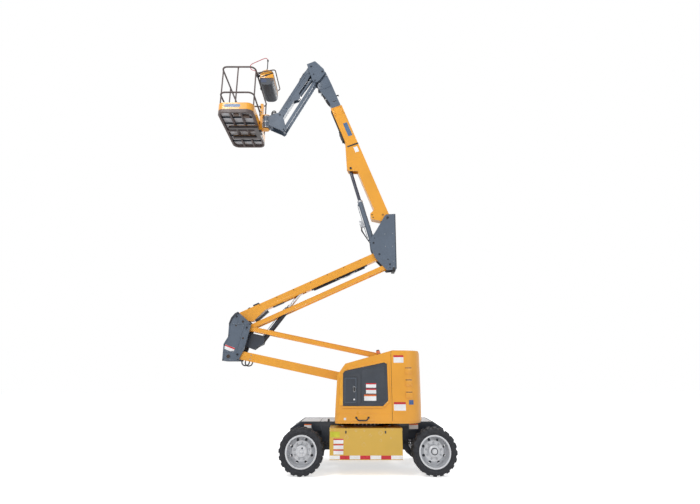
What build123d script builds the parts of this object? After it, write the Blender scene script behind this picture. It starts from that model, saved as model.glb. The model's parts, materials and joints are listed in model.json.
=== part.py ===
from build123d import *
from math import cos, hypot, radians, sin
import os

# Articulating boom lift, working arm raised.  Millimetres, +Z up, floor at z = 0.
# The origin is on the floor at the middle of the machine's overall length.
# Points given as (x, z) are in the machine's upright middle plane, x from the swing axis.

# ---- driving dimensions ----
swing_x = 770              # swing axis, from the middle of the overall length
running_gap = 8            # side gap between pieces that turn past each other
slide_gap = 3              # gap between telescoping pieces
pin_fit = 0.05             # radial clearance of a pin in its bore
pin_r = 25                 # boom pins
skin = 4                   # sheet thickness of the covers

# wheels and chassis
wheelbase = 2100
tread = 1500               # between the tyres' middle planes
tyre_r = 360
tyre_width = 250
lug_height = 26
rim_r = 237
rim_depth = 180
hub_r = 92
stub_r = 45                # wheel spindle
frame_half_width = 400
frame_low = 300
frame_high = 620
deck_high = 700            # flat top of the deck beside the slewing ring
deck_overhang = 240        # how far the sloped end plates reach past the axle
deck_end_drop = 110        # how much lower the end plates finish
steer_lock = 35            # degrees
tie_y = 200                # tie-down lugs at the frame's ends
tie_high = 545
tie_out = 42               # bore beyond the frame's end
tie_bore_r = 20
tie_thick = 25

# side boxes between the wheels
box_half_length = 572
box_low = 245
box_high = 672
box_outer = 872            # outer face, from the middle plane
box_lid_thick = 36
box_centre_x = -30

# turret
ring_r = 395
ring_high = 775
turret_floor = 815         # top of the turning platform
turret_plate = 35
tail_r = 905               # tail swing radius
turret_half_width = 850
channel_half = 205         # clear channel for the folded arms
turret_front = -530
turret_seam = 396          # seam between the side hoods and the tail
roof_high = 1915

# layers across the machine, each the half width of its outer face
boom_half = 65             # upper boom
main_half = 78             # main boom
upper_link_in = 70
upper_link_out = 94
upper_plate_in = 99        # upper knuckle's side plates
upper_plate_out = 109
lower_link_in = 114
lower_link_out = 140
lower_arm_in = 106
lower_arm_out = 156
knuckle_in = 164           # middle knuckle's side plates and the turret's posts
knuckle_out = 184

# folding mast, lower pair
arm_foot = (300, 1338)     # lower arm's pin on the turret
lower_offset = (140, 482)  # from a lower arm pin to the link pin above it
lower_length = 2673
lower_rise = 11.7          # degrees, up to the left
arm_depth = 150
link_depth = 84

# folding mast, upper pair
upper_offset = (202, -202) # from an upper boom pin to the link pin below it
upper_length = 2937
upper_rise = 24.6          # degrees, up to the right
boom_depth = 152

# main boom
main_pin = (178, 762)      # from the upper boom's far pin
main_rise = 69.1           # degrees, up to the left
main_back = 60             # from the pin line to the boom's back face
main_under = 185           # from the pin line to its underside
main_length = 2775
main_wall = 10
fly_tail = 900
fly_back = 44
fly_under = 162
fly_half = 58
fly_wall = 8
fly_neck = 2880
head_along = 3708          # head pin, along the main boom
head_aside = 44            # and towards its underside

# cylinders: where they are pinned, and their sizes
riser_eye_low = (385, 215)     # from the lower arm's pin on the middle knuckle
riser_eye_high = (1254, -40)    # along the upper boom, and above its pin line
main_eye_low = (-111, 231)     # from the upper boom's far pin
main_eye_high = (1293, 305)    # along the main boom, and towards its underside
jib_eye_low = (60, -200)       # from the jib pin, on the jib base
jib_eye_high = (800, 110)      # along the jib, and towards its underside

# jib
jib_head = (-254, 133)     # jib pin, from the boom's head pin
jib_length = 1387
jib_rise = -62.5           # degrees, below the horizontal to the left
jib_offset = (95, -360)    # from a jib pin to the link pin beside it
jib_half = 55
jib_depth = 150
jib_link_in = 63
jib_link_out = 83
jib_plate_in = 91
jib_plate_out = 107
jib_link_depth = 70

# platform
rotor_x = -2080            # platform's turning axis
rotor_r = 78
floor_low = 6570
platform_x = -2590         # middle of the platform
platform_width = 720
platform_length = 1400
rail_high = 1100
rail_r = 17
floor_frame = 70
corner_r = 130

os.makedirs("parts", exist_ok=True)


# ---- places ----
def turned(p, angle):
    a = radians(angle)
    return (p[0] * cos(a) - p[1] * sin(a), p[0] * sin(a) + p[1] * cos(a))


def plus(p, q):
    return (p[0] + q[0], p[1] + q[1])


def minus(p, q):
    return (p[0] - q[0], p[1] - q[1])


def length_of(p):
    return hypot(p[0], p[1])


def upright(y=0, at=(0, 0)):
    """Plane along the machine: local x to the right, local y up, normal to the near side."""
    return Plane(origin=(swing_x + at[0], y, at[1]), x_dir=(1, 0, 0), z_dir=(0, -1, 0))


def along(start, end, y=0):
    """Upright plane whose local x runs from start to end."""
    run = minus(end, start)
    return Plane(origin=(swing_x + start[0], y, start[1]), x_dir=(run[0], 0, run[1]), z_dir=(0, -1, 0))


def level(z, x=0, y=0):
    return Plane(origin=(swing_x + x, y, z))


arm_tip = plus(arm_foot, turned((-lower_length, 0), -lower_rise))
link_foot = plus(arm_foot, lower_offset)
link_tip = plus(arm_tip, lower_offset)
boom_foot = minus(link_tip, upper_offset)
boom_tip = plus(boom_foot, turned((upper_length, 0), upper_rise))
link_far = plus(boom_tip, upper_offset)
main_foot = plus(boom_tip, main_pin)
main_dir = turned((1, 0), 180 - main_rise)
main_under_dir = turned(main_dir, 90)


def on_main(x, y):
    return (main_foot[0] + main_dir[0] * x + main_under_dir[0] * y,
            main_foot[1] + main_dir[1] * x + main_under_dir[1] * y)


head = on_main(head_along, head_aside)
jib_top = plus(head, jib_head)
jib_dir = turned((-1, 0), -jib_rise)
jib_under_dir = turned(jib_dir, 90)
jib_tip = plus(jib_top, (jib_dir[0] * jib_length, jib_dir[1] * jib_length))
jib_link_top = plus(jib_top, jib_offset)
jib_link_tip = plus(jib_tip, jib_offset)
riser_low = plus(arm_tip, riser_eye_low)
riser_high = plus(boom_foot, turned(riser_eye_high, upper_rise))
main_low = plus(boom_tip, main_eye_low)
main_high = on_main(*main_eye_high)
jib_low = plus(jib_top, jib_eye_low)
jib_high = (jib_top[0] + jib_dir[0] * jib_eye_high[0] + jib_under_dir[0] * jib_eye_high[1],
            jib_top[1] + jib_dir[1] * jib_eye_high[0] + jib_under_dir[1] * jib_eye_high[1])


def finish(name, piece):
    piece.part.label = name
    export_step(piece.part, f"parts/{name}.step")


# ---- wheels ----
# each wheel: its name, which end (-1 left, 1 right), which side (-1 near, 1 far)
wheels = [("left_near", -1, -1), ("left_far", -1, 1), ("right_near", 1, -1), ("right_far", 1, 1)]

wheel_mid = tread / 2
rim_out = wheel_mid + rim_depth / 2 + 14
rim_in = wheel_mid - rim_depth / 2 - 14
dish = wheel_mid - 18            # outer face of the rim's disc
disc_thick = 16
hub_face = wheel_mid + 42
hub_back = dish - 60
stub_end = hub_face - 20
vent_r = 22
vent_ring = 176
axle_x = wheelbase / 2

# half section of the rim: radius, distance from the machine's middle plane
rim_section = [
    (stub_r + pin_fit, hub_back), (hub_r, hub_back), (hub_r, dish - disc_thick), (150, dish - disc_thick),
    (rim_r - 26, dish - 52), (rim_r - 12, rim_in), (rim_r + 12, rim_in), (rim_r + 12, rim_in + 12),
    (rim_r, rim_in + 14), (rim_r, rim_out - 14), (rim_r + 12, rim_out - 12), (rim_r + 12, rim_out),
    (rim_r - 11, rim_out), (rim_r - 14, dish - 38), (155, dish), (hub_r, dish),
    (hub_r, hub_face - 8), (hub_r - 8, hub_face), (0, hub_face), (0, hub_face - 14),
    (stub_r + pin_fit, hub_face - 14),
]
# half section of the tyre
tyre_in = wheel_mid - tyre_width / 2
tyre_out = wheel_mid + tyre_width / 2
tyre_section = [
    (rim_r, rim_in + 14), (rim_r + 12, rim_in + 12), (rim_r + 30, tyre_in + 8), (tyre_r - 60, tyre_in),
    (tyre_r - 14, tyre_in + 16), (tyre_r, tyre_in + 40), (tyre_r, tyre_out - 40), (tyre_r - 14, tyre_out - 16),
    (tyre_r - 60, tyre_out), (rim_r + 30, tyre_out - 8), (rim_r + 12, rim_out - 12), (rim_r, rim_out - 14),
]


def wheel_plane(end, side):
    """Section plane of a wheel: local x is the radius upwards, local y outwards along the axle."""
    return Plane(origin=(swing_x + end * axle_x, 0, tyre_r), x_dir=(0, 0, 1), z_dir=(-side, 0, 0))


for name, end, side in wheels:
    at = wheel_plane(end, side)
    axle_line = Axis(at.origin, at.y_dir)
    with BuildPart() as rim:
        with BuildSketch(at):
            with BuildLine():
                Polyline(*rim_section, close=True)
            make_face()
        revolve(axis=axle_line)
        with BuildSketch(Plane(at.origin + at.y_dir * hub_back, x_dir=(1, 0, 0), z_dir=at.y_dir)):
            with PolarLocations(vent_ring, 8, start_angle=22.5):
                Circle(vent_r)
        extrude(amount=70, mode=Mode.SUBTRACT)
    finish(f"rim_{name}", rim)

    with BuildPart() as tyre:
        with BuildSketch(at):
            with BuildLine():
                Polyline(*tyre_section, close=True)
            make_face()
        revolve(axis=axle_line)
    finish(f"tyre_{name}", tyre)

# ---- chassis ----
frame_end_x = axle_x + 150
end_low = 480                    # frame's underside over the axles
end_half_width = 320             # frame's half width beside the wheels
mid_half_length = 580

with BuildPart() as chassis_frame:
    with BuildSketch(level(end_low)):
        Rectangle(2 * frame_end_x, 2 * end_half_width)
    extrude(amount=frame_high - end_low)
    with BuildSketch(level(frame_low)):
        Rectangle(2 * mid_half_length, 2 * frame_half_width)
    extrude(amount=frame_high - frame_low)
    with BuildSketch(level(frame_high)):
        Circle(frame_half_width - 5)
    extrude(amount=deck_high - frame_high)
    for end in (-1, 1):
        for side in (-1, 1):
            with BuildSketch(level(tie_high, x=end * (frame_end_x + tie_out), y=side * tie_y)):
                Circle(2 * tie_bore_r + 4)
                with Locations((-end * tie_out / 2, 0)):
                    Rectangle(tie_out, 4 * tie_bore_r + 8)
                Circle(tie_bore_r, mode=Mode.SUBTRACT)
            extrude(amount=tie_thick / 2, both=True)
finish("chassis_frame", chassis_frame)

kingpin_y = 560
kingpin_r = 24
axle_half = 55                   # half height and half width of the steering beam
fork_reach = 95                  # fork arms above and below the axle's middle
fork_thick = 22

with BuildPart() as drive_axle:
    with BuildSketch(upright(at=(-axle_x, tyre_r))):
        Circle(62)
    extrude(amount=rim_in - 40, both=True)
    with BuildSketch(upright(at=(-axle_x, tyre_r))):
        Circle(100)
    extrude(amount=kingpin_y - 20, both=True)
    with BuildSketch(upright(at=(-axle_x, tyre_r))):
        Circle(stub_r)
    extrude(amount=stub_end, both=True)
    with BuildSketch(level(tyre_r, x=-axle_x)):
        Rectangle(180, 2 * end_half_width)
    extrude(amount=end_low - tyre_r)
finish("drive_axle", drive_axle)

with BuildPart() as steer_axle:
    with BuildSketch(level(tyre_r - axle_half, x=axle_x)):
        Rectangle(2 * axle_half, 2 * (kingpin_y - 80))
    extrude(amount=2 * axle_half)
    with BuildSketch(level(tyre_r, x=axle_x)):
        Rectangle(180, 2 * end_half_width)
    extrude(amount=end_low - tyre_r)
    for side in (-1, 1):
        # fork: back plate and two arms with the kingpin through them
        with BuildSketch(level(tyre_r - fork_reach, x=axle_x, y=side * (kingpin_y - 68))):
            Rectangle(110, 24)
        extrude(amount=2 * fork_reach)
        for low in (-fork_reach, fork_reach - fork_thick):
            with BuildSketch(level(tyre_r + low, x=axle_x, y=side * (kingpin_y - 28))):
                Rectangle(90, 84)
            extrude(amount=fork_thick)
            with BuildSketch(level(tyre_r + low, x=axle_x, y=side * kingpin_y)):
                Circle(45)
            extrude(amount=fork_thick)
        with BuildSketch(level(tyre_r - fork_reach, x=axle_x, y=side * kingpin_y)):
            Circle(kingpin_r)
        extrude(amount=2 * fork_reach)
finish("steer_axle", steer_axle)

knuckle_half = fork_reach - fork_thick - 6
for name, side in (("near", -1), ("far", 1)):
    with BuildPart() as knuckle:
        with BuildSketch(level(tyre_r - knuckle_half, x=axle_x, y=side * kingpin_y)):
            Circle(40)
        extrude(amount=2 * knuckle_half)
        spindle = Plane(origin=(swing_x + axle_x, side * kingpin_y, tyre_r), x_dir=(1, 0, 0), z_dir=(0, side, 0))
        with BuildSketch(spindle):
            Circle(60)
        extrude(amount=hub_back - kingpin_y - 6)
        with BuildSketch(spindle):
            Circle(stub_r)
        extrude(amount=stub_end - kingpin_y)
        with BuildSketch(level(tyre_r - fork_reach, x=axle_x, y=side * kingpin_y)):
            Circle(kingpin_r + pin_fit)
        extrude(amount=2 * fork_reach, mode=Mode.SUBTRACT)
    finish(f"steer_knuckle_{name}", knuckle)

# deck over both ends: flat beside the ring, sloping down to each end
deck_top = 762
deck_flat_x = axle_x + 70
deck_end_x = axle_x + deck_overhang
deck_half_width = 395
deck_in_x = 450
with BuildPart() as deck_plates:
    for end in (-1, 1):
        with BuildSketch(upright(deck_half_width)):
            with BuildLine():
                Polyline((end * deck_in_x, frame_high), (end * deck_in_x, deck_top), (end * deck_flat_x, deck_top),
                         (end * deck_end_x, deck_top - deck_end_drop), (end * deck_end_x, frame_high), close=True)
            make_face()
        extrude(amount=2 * deck_half_width)
finish("deck_plates", deck_plates)

with BuildPart() as side_boxes:
    for side in (-1, 1):
        with BuildSketch(level(box_low, x=box_centre_x, y=side * (box_outer + frame_half_width) / 2)):
            Rectangle(2 * box_half_length, box_outer - frame_half_width)
        extrude(amount=box_high - box_low)
    fillet(side_boxes.edges().filter_by(Axis.X).group_by(Axis.Z)[0], 18)
finish("side_boxes", side_boxes)

with BuildPart() as side_box_lids:
    for side in (-1, 1):
        with BuildSketch(level(box_high, x=box_centre_x, y=side * (box_outer + frame_half_width) / 2)):
            RectangleRounded(2 * box_half_length + 12, box_outer - frame_half_width + 6, 15)
        extrude(amount=box_lid_thick)
finish("side_box_lids", side_box_lids)

ring_bore = ring_r - 80
with BuildPart() as slew_ring:
    with BuildSketch(level(deck_high)):
        Circle(ring_r)
        Circle(ring_bore, mode=Mode.SUBTRACT)
    extrude(amount=ring_high - deck_high)
finish("slew_ring", slew_ring)

# ---- turret ----
seat = 0.3                       # clearance where one body rides on another
tail_corner = 300
nose_corner = 90
turret_low = ring_high + seat
side_plate = 10                  # thickness of the turret's side plates
tail_tuck = 15                   # how far the tail's lower edge sits in
post_foot = (-170, 150)          # foot of the riser posts: from the arm's pin, and from the link's pin
weight_x = link_foot[0] + post_foot[1] + 21   # front face of the counterweight
weight_back = tail_r - 30
weight_half_width = turret_half_width - 170
weight_high = 145
cover_inset = skin + seat        # from the covers' outer face to what they close on

with BuildPart() as turret_base:
    with BuildSketch(level(turret_low, x=(turret_front + tail_r - tail_tuck) / 2)):
        Rectangle(tail_r - tail_tuck - turret_front - 2 * cover_inset - 2, 2 * (turret_half_width - cover_inset))
    extrude(amount=turret_floor - turret_low)
    fillet(turret_base.edges().filter_by(Axis.Z).group_by(Axis.X)[-1], tail_corner - cover_inset)
    fillet(turret_base.edges().filter_by(Axis.Z).group_by(Axis.X)[0], nose_corner - cover_inset)
    # side plates that carry the covers along the middle channel
    for side in (-1, 1):
        with BuildSketch(upright(side * (channel_half - running_gap - side_plate / 2))):
            with BuildLine():
                Polyline((turret_front + 60, turret_floor), (turret_front + 90, 1480), (turret_front + 220, 1660),
                         (turret_seam - 60, roof_high - 75), (weight_x - 30, roof_high - 75),
                         (weight_x - 30, turret_floor), close=True)
            make_face()
        extrude(amount=side_plate / 2, both=True)
    with BuildSketch(level(deck_high + 10)):
        Circle(ring_bore - seat)
    extrude(amount=turret_floor - deck_high - 10)
finish("turret_base", turret_base)

# riser posts: two plates that carry the feet of the lower arm and of the lower link
with BuildPart() as riser_posts:
    for side in (-1, 1):
        with BuildSketch(upright(side * (knuckle_in + knuckle_out) / 2)):
            with BuildLine():
                Polyline((arm_foot[0] + post_foot[0], turret_floor), (arm_foot[0] - 75, arm_foot[1]),
                         (link_foot[0] - 60, link_foot[1] + 20), (link_foot[0] + 40, link_foot[1] + 60),
                         (link_foot[0] + 75, link_foot[1]), (link_foot[0] + post_foot[1], turret_floor), close=True)
            make_face()
        extrude(amount=(knuckle_out - knuckle_in) / 2, both=True)
        for pin, radius, inner in ((arm_foot, pin_r, lower_arm_in), (link_foot, pin_r - 3, lower_link_in)):
            with BuildSketch(upright(side * (inner + knuckle_in) / 2, at=pin)):
                Circle(radius)
            extrude(amount=(knuckle_in - inner) / 2, both=True)
finish("riser_posts", riser_posts)

with BuildPart() as counterweight:
    with BuildSketch(level(turret_floor, x=(weight_x + weight_back) / 2)):
        Rectangle(weight_back - weight_x, 2 * weight_half_width)
    extrude(amount=weight_high)
    fillet(counterweight.edges().filter_by(Axis.Z).group_by(Axis.X)[-1], 150)
finish("counterweight", counterweight)

# covers: a closed side outline over a plan with rounded corners, hollowed to a skin
cover_low = turret_floor - 10
roof_knee = (turret_front + 115, 1640)   # where the front edge rounds into the roof
with BuildSketch(Plane.XY) as cover_plan:
    with Locations(((turret_front + tail_r) / 2, 0)):
        Rectangle(tail_r - turret_front, 2 * turret_half_width)
    fillet(cover_plan.vertices().group_by(Axis.X)[-1], tail_corner)
    fillet(cover_plan.vertices().group_by(Axis.X)[0], nose_corner)


def cover_outline(inset):
    """Side outline of the covers, drawn inwards by inset, open at the bottom."""
    return [(turret_front + inset, cover_low - inset), (turret_front + 40 + inset, 1520),
            (turret_front + 170 + inset * 0.5, 1700 - inset), (turret_seam + 25, roof_high - inset),
            (tail_r - 40 - inset, roof_high - 5 - inset), (tail_r - inset, roof_high - 60 - inset),
            (tail_r - tail_tuck - inset, cover_low - inset)]


def cover_block(inset, near, far):
    """Outline and plan together, between two distances from the middle plane."""
    with BuildPart(mode=Mode.PRIVATE) as block:
        with BuildSketch(upright(-near)):
            with BuildLine():
                Polyline(*cover_outline(inset), close=True)
            make_face()
        extrude(amount=far - near)
        with BuildSketch(level(0)):
            add(offset(cover_plan.sketch, -inset) if inset else cover_plan.sketch)
        extrude(amount=3000, mode=Mode.INTERSECT)
    return block.part


cover_shell = cover_block(0, channel_half, turret_half_width) - cover_block(skin, channel_half - 20,
                                                                            turret_half_width)
seam_gap = 6
beyond = 3000
front_part = Pos(swing_x + turret_seam - seam_gap / 2 - beyond / 2, 0, 0) * Box(beyond, beyond, 2 * beyond)
tail_part = Pos(swing_x + turret_seam + seam_gap / 2 + beyond / 2, 0, 0) * Box(beyond, beyond, 2 * beyond)
near_front = cover_shell & front_part
near_tail = cover_shell & tail_part

with BuildPart() as hood_near:
    add(near_front)
finish("hood_near", hood_near)
with BuildPart() as hood_far:
    add(mirror(near_front, about=Plane.XZ))
finish("hood_far", hood_far)
with BuildPart() as tail_cover:
    add(near_tail)
    add(mirror(near_tail, about=Plane.XZ))
finish("tail_cover", tail_cover)

# ---- ground controls, on the near hood ----
panel_x = (-452, -110)           # dark panel in the near hood
panel_z = (1050, 1560)
door_x = (-385, -165)
door_z = (1075, 1490)
panel_thick = 12
door_thick = 14
panel_face = turret_half_width + panel_thick

with BuildPart() as control_panel:
    with BuildSketch(upright(-turret_half_width)):
        with BuildLine():
            Polyline((panel_x[0], panel_z[0]), (panel_x[0], 1490), (panel_x[1] - 40, panel_z[1]),
                     (panel_x[1], panel_z[1] - 30), (panel_x[1], panel_z[0] + 50), (panel_x[1] - 50, panel_z[0]),
                     close=True)
        make_face()
    extrude(amount=panel_thick)
    with BuildSketch(upright(-panel_face)):
        with Locations(((door_x[0] + door_x[1]) / 2, (door_z[0] + door_z[1]) / 2)):
            Rectangle(door_x[1] - door_x[0] + 12, door_z[1] - door_z[0] + 12)
    extrude(amount=-5, mode=Mode.SUBTRACT)
finish("control_panel", control_panel)

with BuildPart() as control_door:
    with BuildSketch(upright(-panel_face + 4.7)):
        with Locations(((door_x[0] + door_x[1]) / 2, (door_z[0] + door_z[1]) / 2)):
            RectangleRounded(door_x[1] - door_x[0], door_z[1] - door_z[0], 22)
    extrude(amount=door_thick)
finish("control_door", control_door)

# beacon standing square to the sloping roof
roof_low = cover_outline(0)[2]
roof_top = cover_outline(0)[3]
roof_run = minus(roof_top, roof_low)
beacon_x = 235
beacon_foot = (beacon_x, roof_low[1] + roof_run[1] * (beacon_x - roof_low[0]) / roof_run[0])
beacon_plane = Plane(origin=(swing_x + beacon_foot[0], -channel_half - 90, beacon_foot[1]),
                     x_dir=(roof_run[0], 0, roof_run[1]), z_dir=(-roof_run[1], 0, roof_run[0]))
with BuildPart() as beacon:
    with BuildSketch(beacon_plane):
        Circle(42)
    extrude(amount=22)
    with BuildSketch(beacon_plane.offset(22)):
        Circle(38)
    extrude(amount=72, taper=4)
finish("beacon", beacon)

# ---- folding mast ----
link_pin_r = pin_r - 3
eye_wall = 20


def two_sided(inner, outer):
    """Near and far slabs: plane offset and thickness for pieces that come in pairs."""
    return [(side * (inner + outer) / 2, (outer - inner) / 2) for side in (-1, 1)]


with BuildPart() as lower_arm:
    for y, half in two_sided(lower_arm_in, lower_arm_out):
        with BuildSketch(along(arm_tip, arm_foot, y)):
            with Locations((lower_length / 2, 0)):
                SlotCenterToCenter(lower_length, arm_depth)
        extrude(amount=half, both=True)
    for place in (900, 1300):
        with BuildSketch(along(arm_tip, arm_foot)):
            with Locations((place, 0)):
                RectangleRounded(90, 60, 12)
        extrude(amount=lower_arm_in, both=True)
    with BuildSketch(along(arm_tip, arm_foot)):
        with Locations((0, 0), (lower_length, 0)):
            Circle(pin_r + pin_fit)
    extrude(amount=lower_arm_out, both=True, mode=Mode.SUBTRACT)
finish("lower_arm", lower_arm)

with BuildPart() as lower_link:
    for y, half in two_sided(lower_link_in, lower_link_out):
        with BuildSketch(along(link_tip, link_foot, y)):
            with Locations((lower_length / 2, 0)):
                SlotCenterToCenter(lower_length, link_depth)
        extrude(amount=half, both=True)
    with BuildSketch(along(link_tip, link_foot)):
        with Locations((0, 0), (lower_length, 0)):
            Circle(link_pin_r + pin_fit)
    extrude(amount=lower_link_out, both=True, mode=Mode.SUBTRACT)
finish("lower_link", lower_link)

# outline of the middle knuckle's side plates, from the lower arm's pin
knuckle_outline = [(-42, 772), (218, 550), (112, 90), (47, -47), (28, -111), (-269, -111), (-267, 188),
                   (-195, 319), (-196, 551), (-162, 660), (-95, 745)]
bracket_in = 56
bracket_out = 68
bracket_outline = [(110, 150), (268, 92), (345, 150), (riser_eye_low[0] + 45, 190), (riser_eye_low[0] + 70, 270),
                   (riser_eye_low[0] + 60, 340), (178, 400)]
web = 16
with BuildPart() as mid_knuckle:
    for y, half in two_sided(knuckle_in, knuckle_out):
        with BuildSketch(upright(y, at=arm_tip)):
            with BuildLine():
                Polyline(*knuckle_outline, close=True)
            make_face()
        extrude(amount=half, both=True)
    for y, half in two_sided(bracket_in, bracket_out):
        with BuildSketch(upright(y, at=arm_tip)):
            with BuildLine():
                Polyline(*bracket_outline, close=True)
            make_face()
        extrude(amount=half, both=True)
    # back wall and front wall between the plates
    with BuildSketch(upright(at=arm_tip)):
        with BuildLine():
            Polyline((-269, -111), (-269 + web, -111), (-267 + web, 188), (-195 + web, 319), (-196 + web, 551),
                     (-196, 551), (-195, 319), (-267, 188), close=True)
        make_face()
        with BuildLine():
            Polyline((110, 150), (110 + web, 150), (150 + web, 300), (150, 300), close=True)
        make_face()
    extrude(amount=knuckle_in, both=True)
    # pins
    for at, radius, inner in ((arm_tip, pin_r, lower_arm_in), (link_tip, link_pin_r, 0), (boom_foot, pin_r, 0)):
        for side in (-1, 1):
            with BuildSketch(upright(side * (inner + knuckle_in) / 2, at=at)):
                Circle(radius)
            extrude(amount=(knuckle_in - inner) / 2, both=True)
    with BuildSketch(upright(at=riser_low)):
        Circle(link_pin_r)
    extrude(amount=bracket_in, both=True)
finish("mid_knuckle", mid_knuckle)

slot_roof = boom_depth / 2 - 10  # the rod's eye moves inside the hollow boom

with BuildPart() as upper_boom:
    with BuildSketch(along(boom_foot, boom_tip)):
        with BuildLine():
            Polyline((-40, boom_depth / 2), (upper_length, boom_depth / 2), (upper_length, -boom_depth / 2),
                     (507, -boom_depth / 2), (224, -184), (60, -90), (-40, -50), close=True)
        make_face()
        with Locations((0, 0), (upper_length, 0)):
            Circle(boom_depth / 2)
    extrude(amount=boom_half, both=True)
    with BuildSketch(along(boom_foot, boom_tip)):
        Circle(50)
    extrude(amount=knuckle_in - running_gap, both=True)
    with BuildSketch(along(boom_foot, boom_tip)):
        with Locations((upper_length, 0)):
            Circle(50)
    extrude(amount=upper_plate_in - running_gap, both=True)
    # slot for the riser cylinder's rod, and lugs beside it
    with BuildSketch(along(boom_foot, boom_tip)):
        with Locations((0, 0), (upper_length, 0)):
            Circle(pin_r + pin_fit)
    extrude(amount=knuckle_in, both=True, mode=Mode.SUBTRACT)
    with BuildSketch(along(boom_foot, boom_tip)):
        with BuildLine():
            Polyline((760, -boom_depth), (760, -50), (1000, slot_roof), (1350, slot_roof), (1350, -boom_depth),
                     close=True)
        make_face()
    extrude(amount=boom_half - 14, both=True, mode=Mode.SUBTRACT)
finish("upper_boom", upper_boom)

with BuildPart() as upper_link:
    for y, half in two_sided(upper_link_in, upper_link_out):
        with BuildSketch(along(link_tip, link_far, y)):
            with Locations((upper_length / 2, 0)):
                SlotCenterToCenter(upper_length, link_depth)
        extrude(amount=half, both=True)
    with BuildSketch(along(link_tip, link_far)):
        with Locations((upper_length - 420, 0)):
            RectangleRounded(80, 50, 10)
    extrude(amount=upper_link_in, both=True)
    with BuildSketch(along(link_tip, link_far)):
        with Locations((0, 0), (upper_length, 0)):
            Circle(link_pin_r + pin_fit)
    extrude(amount=upper_link_out, both=True, mode=Mode.SUBTRACT)
finish("upper_link", upper_link)

# outline of the upper knuckle's side plates, from the upper boom's far pin
upper_outline = [(165, 831), (334, 840), (320, -302), (138, -320), (-82, -77), (-164, 128), (-182, 296),
                 (-161, 337), (-63, 476), (124, 805)]
main_pin_r = 32
with BuildPart() as upper_knuckle:
    for y, half in two_sided(upper_plate_in, upper_plate_out):
        with BuildSketch(upright(y, at=boom_tip)):
            with BuildLine():
                Polyline(*upper_outline, close=True)
            make_face()
        extrude(amount=half, both=True)
    with BuildSketch(upright(at=boom_tip)):
        with BuildLine():
            Polyline((320, -302), (320 - web, -302), (331 - web, 600), (331, 600), close=True)
        make_face()
    extrude(amount=upper_plate_in, both=True)
    for at, radius in ((boom_tip, pin_r), (link_far, link_pin_r), (main_foot, main_pin_r), (main_low, pin_r)):
        with BuildSketch(upright(at=at)):
            Circle(radius)
        extrude(amount=upper_plate_in, both=True)
finish("upper_knuckle", upper_knuckle)

# ---- main boom and its extension; local x runs up the boom, local y to its underside ----
main_plane = along(main_foot, on_main(main_length, 0))
collar = 60


def boom_section(x, back, under, half):
    """Section across the main boom at a distance along it."""
    at = on_main(x, (under - back) / 2)
    return Plane(origin=(swing_x + at[0], 0, at[1]), x_dir=(0, 1, 0), z_dir=(main_dir[0], 0, main_dir[1])), \
        2 * half, under + back


with BuildPart() as main_boom:
    with BuildSketch(main_plane):
        with BuildLine():
            Polyline((0, -main_back), (main_length, -main_back), (main_length, main_under), (260, main_under),
                     (215, 285), (165, 300), (92, 300), (-9, 150), (-70, 40), close=True)
        make_face()
        Circle(90)
    extrude(amount=main_half, both=True)
    # hollow for the extension
    plane, wide, deep = boom_section(fly_tail - 500, main_back - main_wall, main_under - main_wall,
                                     main_half - main_wall)
    with BuildSketch(plane):
        Rectangle(wide, deep)
    extrude(amount=main_length, mode=Mode.SUBTRACT)
    # collar that guides the extension
    plane, wide, deep = boom_section(main_length - collar, main_back - main_wall, main_under - main_wall,
                                     main_half - main_wall)
    with BuildSketch(plane):
        Rectangle(wide, deep)
    extrude(amount=collar)
    with BuildSketch(main_plane):
        with Locations((main_length - collar / 2, (fly_under - fly_back) / 2)):
            Rectangle(collar * 3, fly_under + fly_back + 2 * seat)
    extrude(amount=fly_half + seat, both=True, mode=Mode.SUBTRACT)
    # lug plates of the lift cylinder
    for y, half in two_sided(main_half - 22, main_half):
        with BuildSketch(along(main_foot, on_main(main_length, 0), y)):
            with BuildLine():
                Polyline((1900, main_under), (main_eye_high[0] + 50, main_eye_high[1] + 55),
                         (main_eye_high[0] - 40, main_eye_high[1] + 50), (main_eye_high[0] - 110, main_under),
                         close=True)
            make_face()
        extrude(amount=half, both=True)
    with BuildSketch(main_plane):
        Circle(60)
    extrude(amount=upper_plate_in - running_gap, both=True)
    with BuildSketch(main_plane):
        Circle(main_pin_r + pin_fit)
    extrude(amount=upper_plate_in, both=True, mode=Mode.SUBTRACT)
finish("main_boom", main_boom)

with BuildPart() as fly_boom:
    with BuildSketch(main_plane):
        with BuildLine():
            Polyline((fly_tail, -fly_back), (fly_neck + 480, -fly_back), (head_along, head_aside - 75),
                     (head_along + 60, head_aside), (head_along, head_aside + 75), (fly_neck + 560, 262),
                     (fly_neck + 480, 262), (fly_neck + 60, fly_under), (fly_tail, fly_under), close=True)
        make_face()
    extrude(amount=fly_half, both=True)
    plane, wide, deep = boom_section(fly_tail - 1, fly_back - fly_wall, fly_under - fly_wall, fly_half - fly_wall)
    with BuildSketch(plane):
        Rectangle(wide, deep)
    extrude(amount=fly_neck - fly_tail, mode=Mode.SUBTRACT)
    with BuildSketch(main_plane):
        with Locations((head_along, head_aside)):
            Circle(55)
    extrude(amount=jib_plate_in - running_gap, both=True)
    with BuildSketch(main_plane):
        with Locations((head_along, head_aside)):
            Circle(pin_r + pin_fit)
    extrude(amount=jib_plate_in, both=True, mode=Mode.SUBTRACT)
finish("fly_boom", fly_boom)


# ---- cylinders: name, low pin, high pin, barrel length, rod length, barrel and rod radius,
# the low eye's half width, the low pin's radius ----
def spot(low, high, x):
    run = minus(high, low)
    reach = length_of(run)
    return (low[0] + run[0] * x / reach, low[1] + run[1] * x / reach)


def across(low, high, x):
    """Plane square to the cylinder at a distance from its low pin."""
    run = minus(high, low)
    at = spot(low, high, x)
    return Plane(origin=(swing_x + at[0], 0, at[1]), x_dir=(0, 1, 0), z_dir=(run[0], 0, run[1]))


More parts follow.
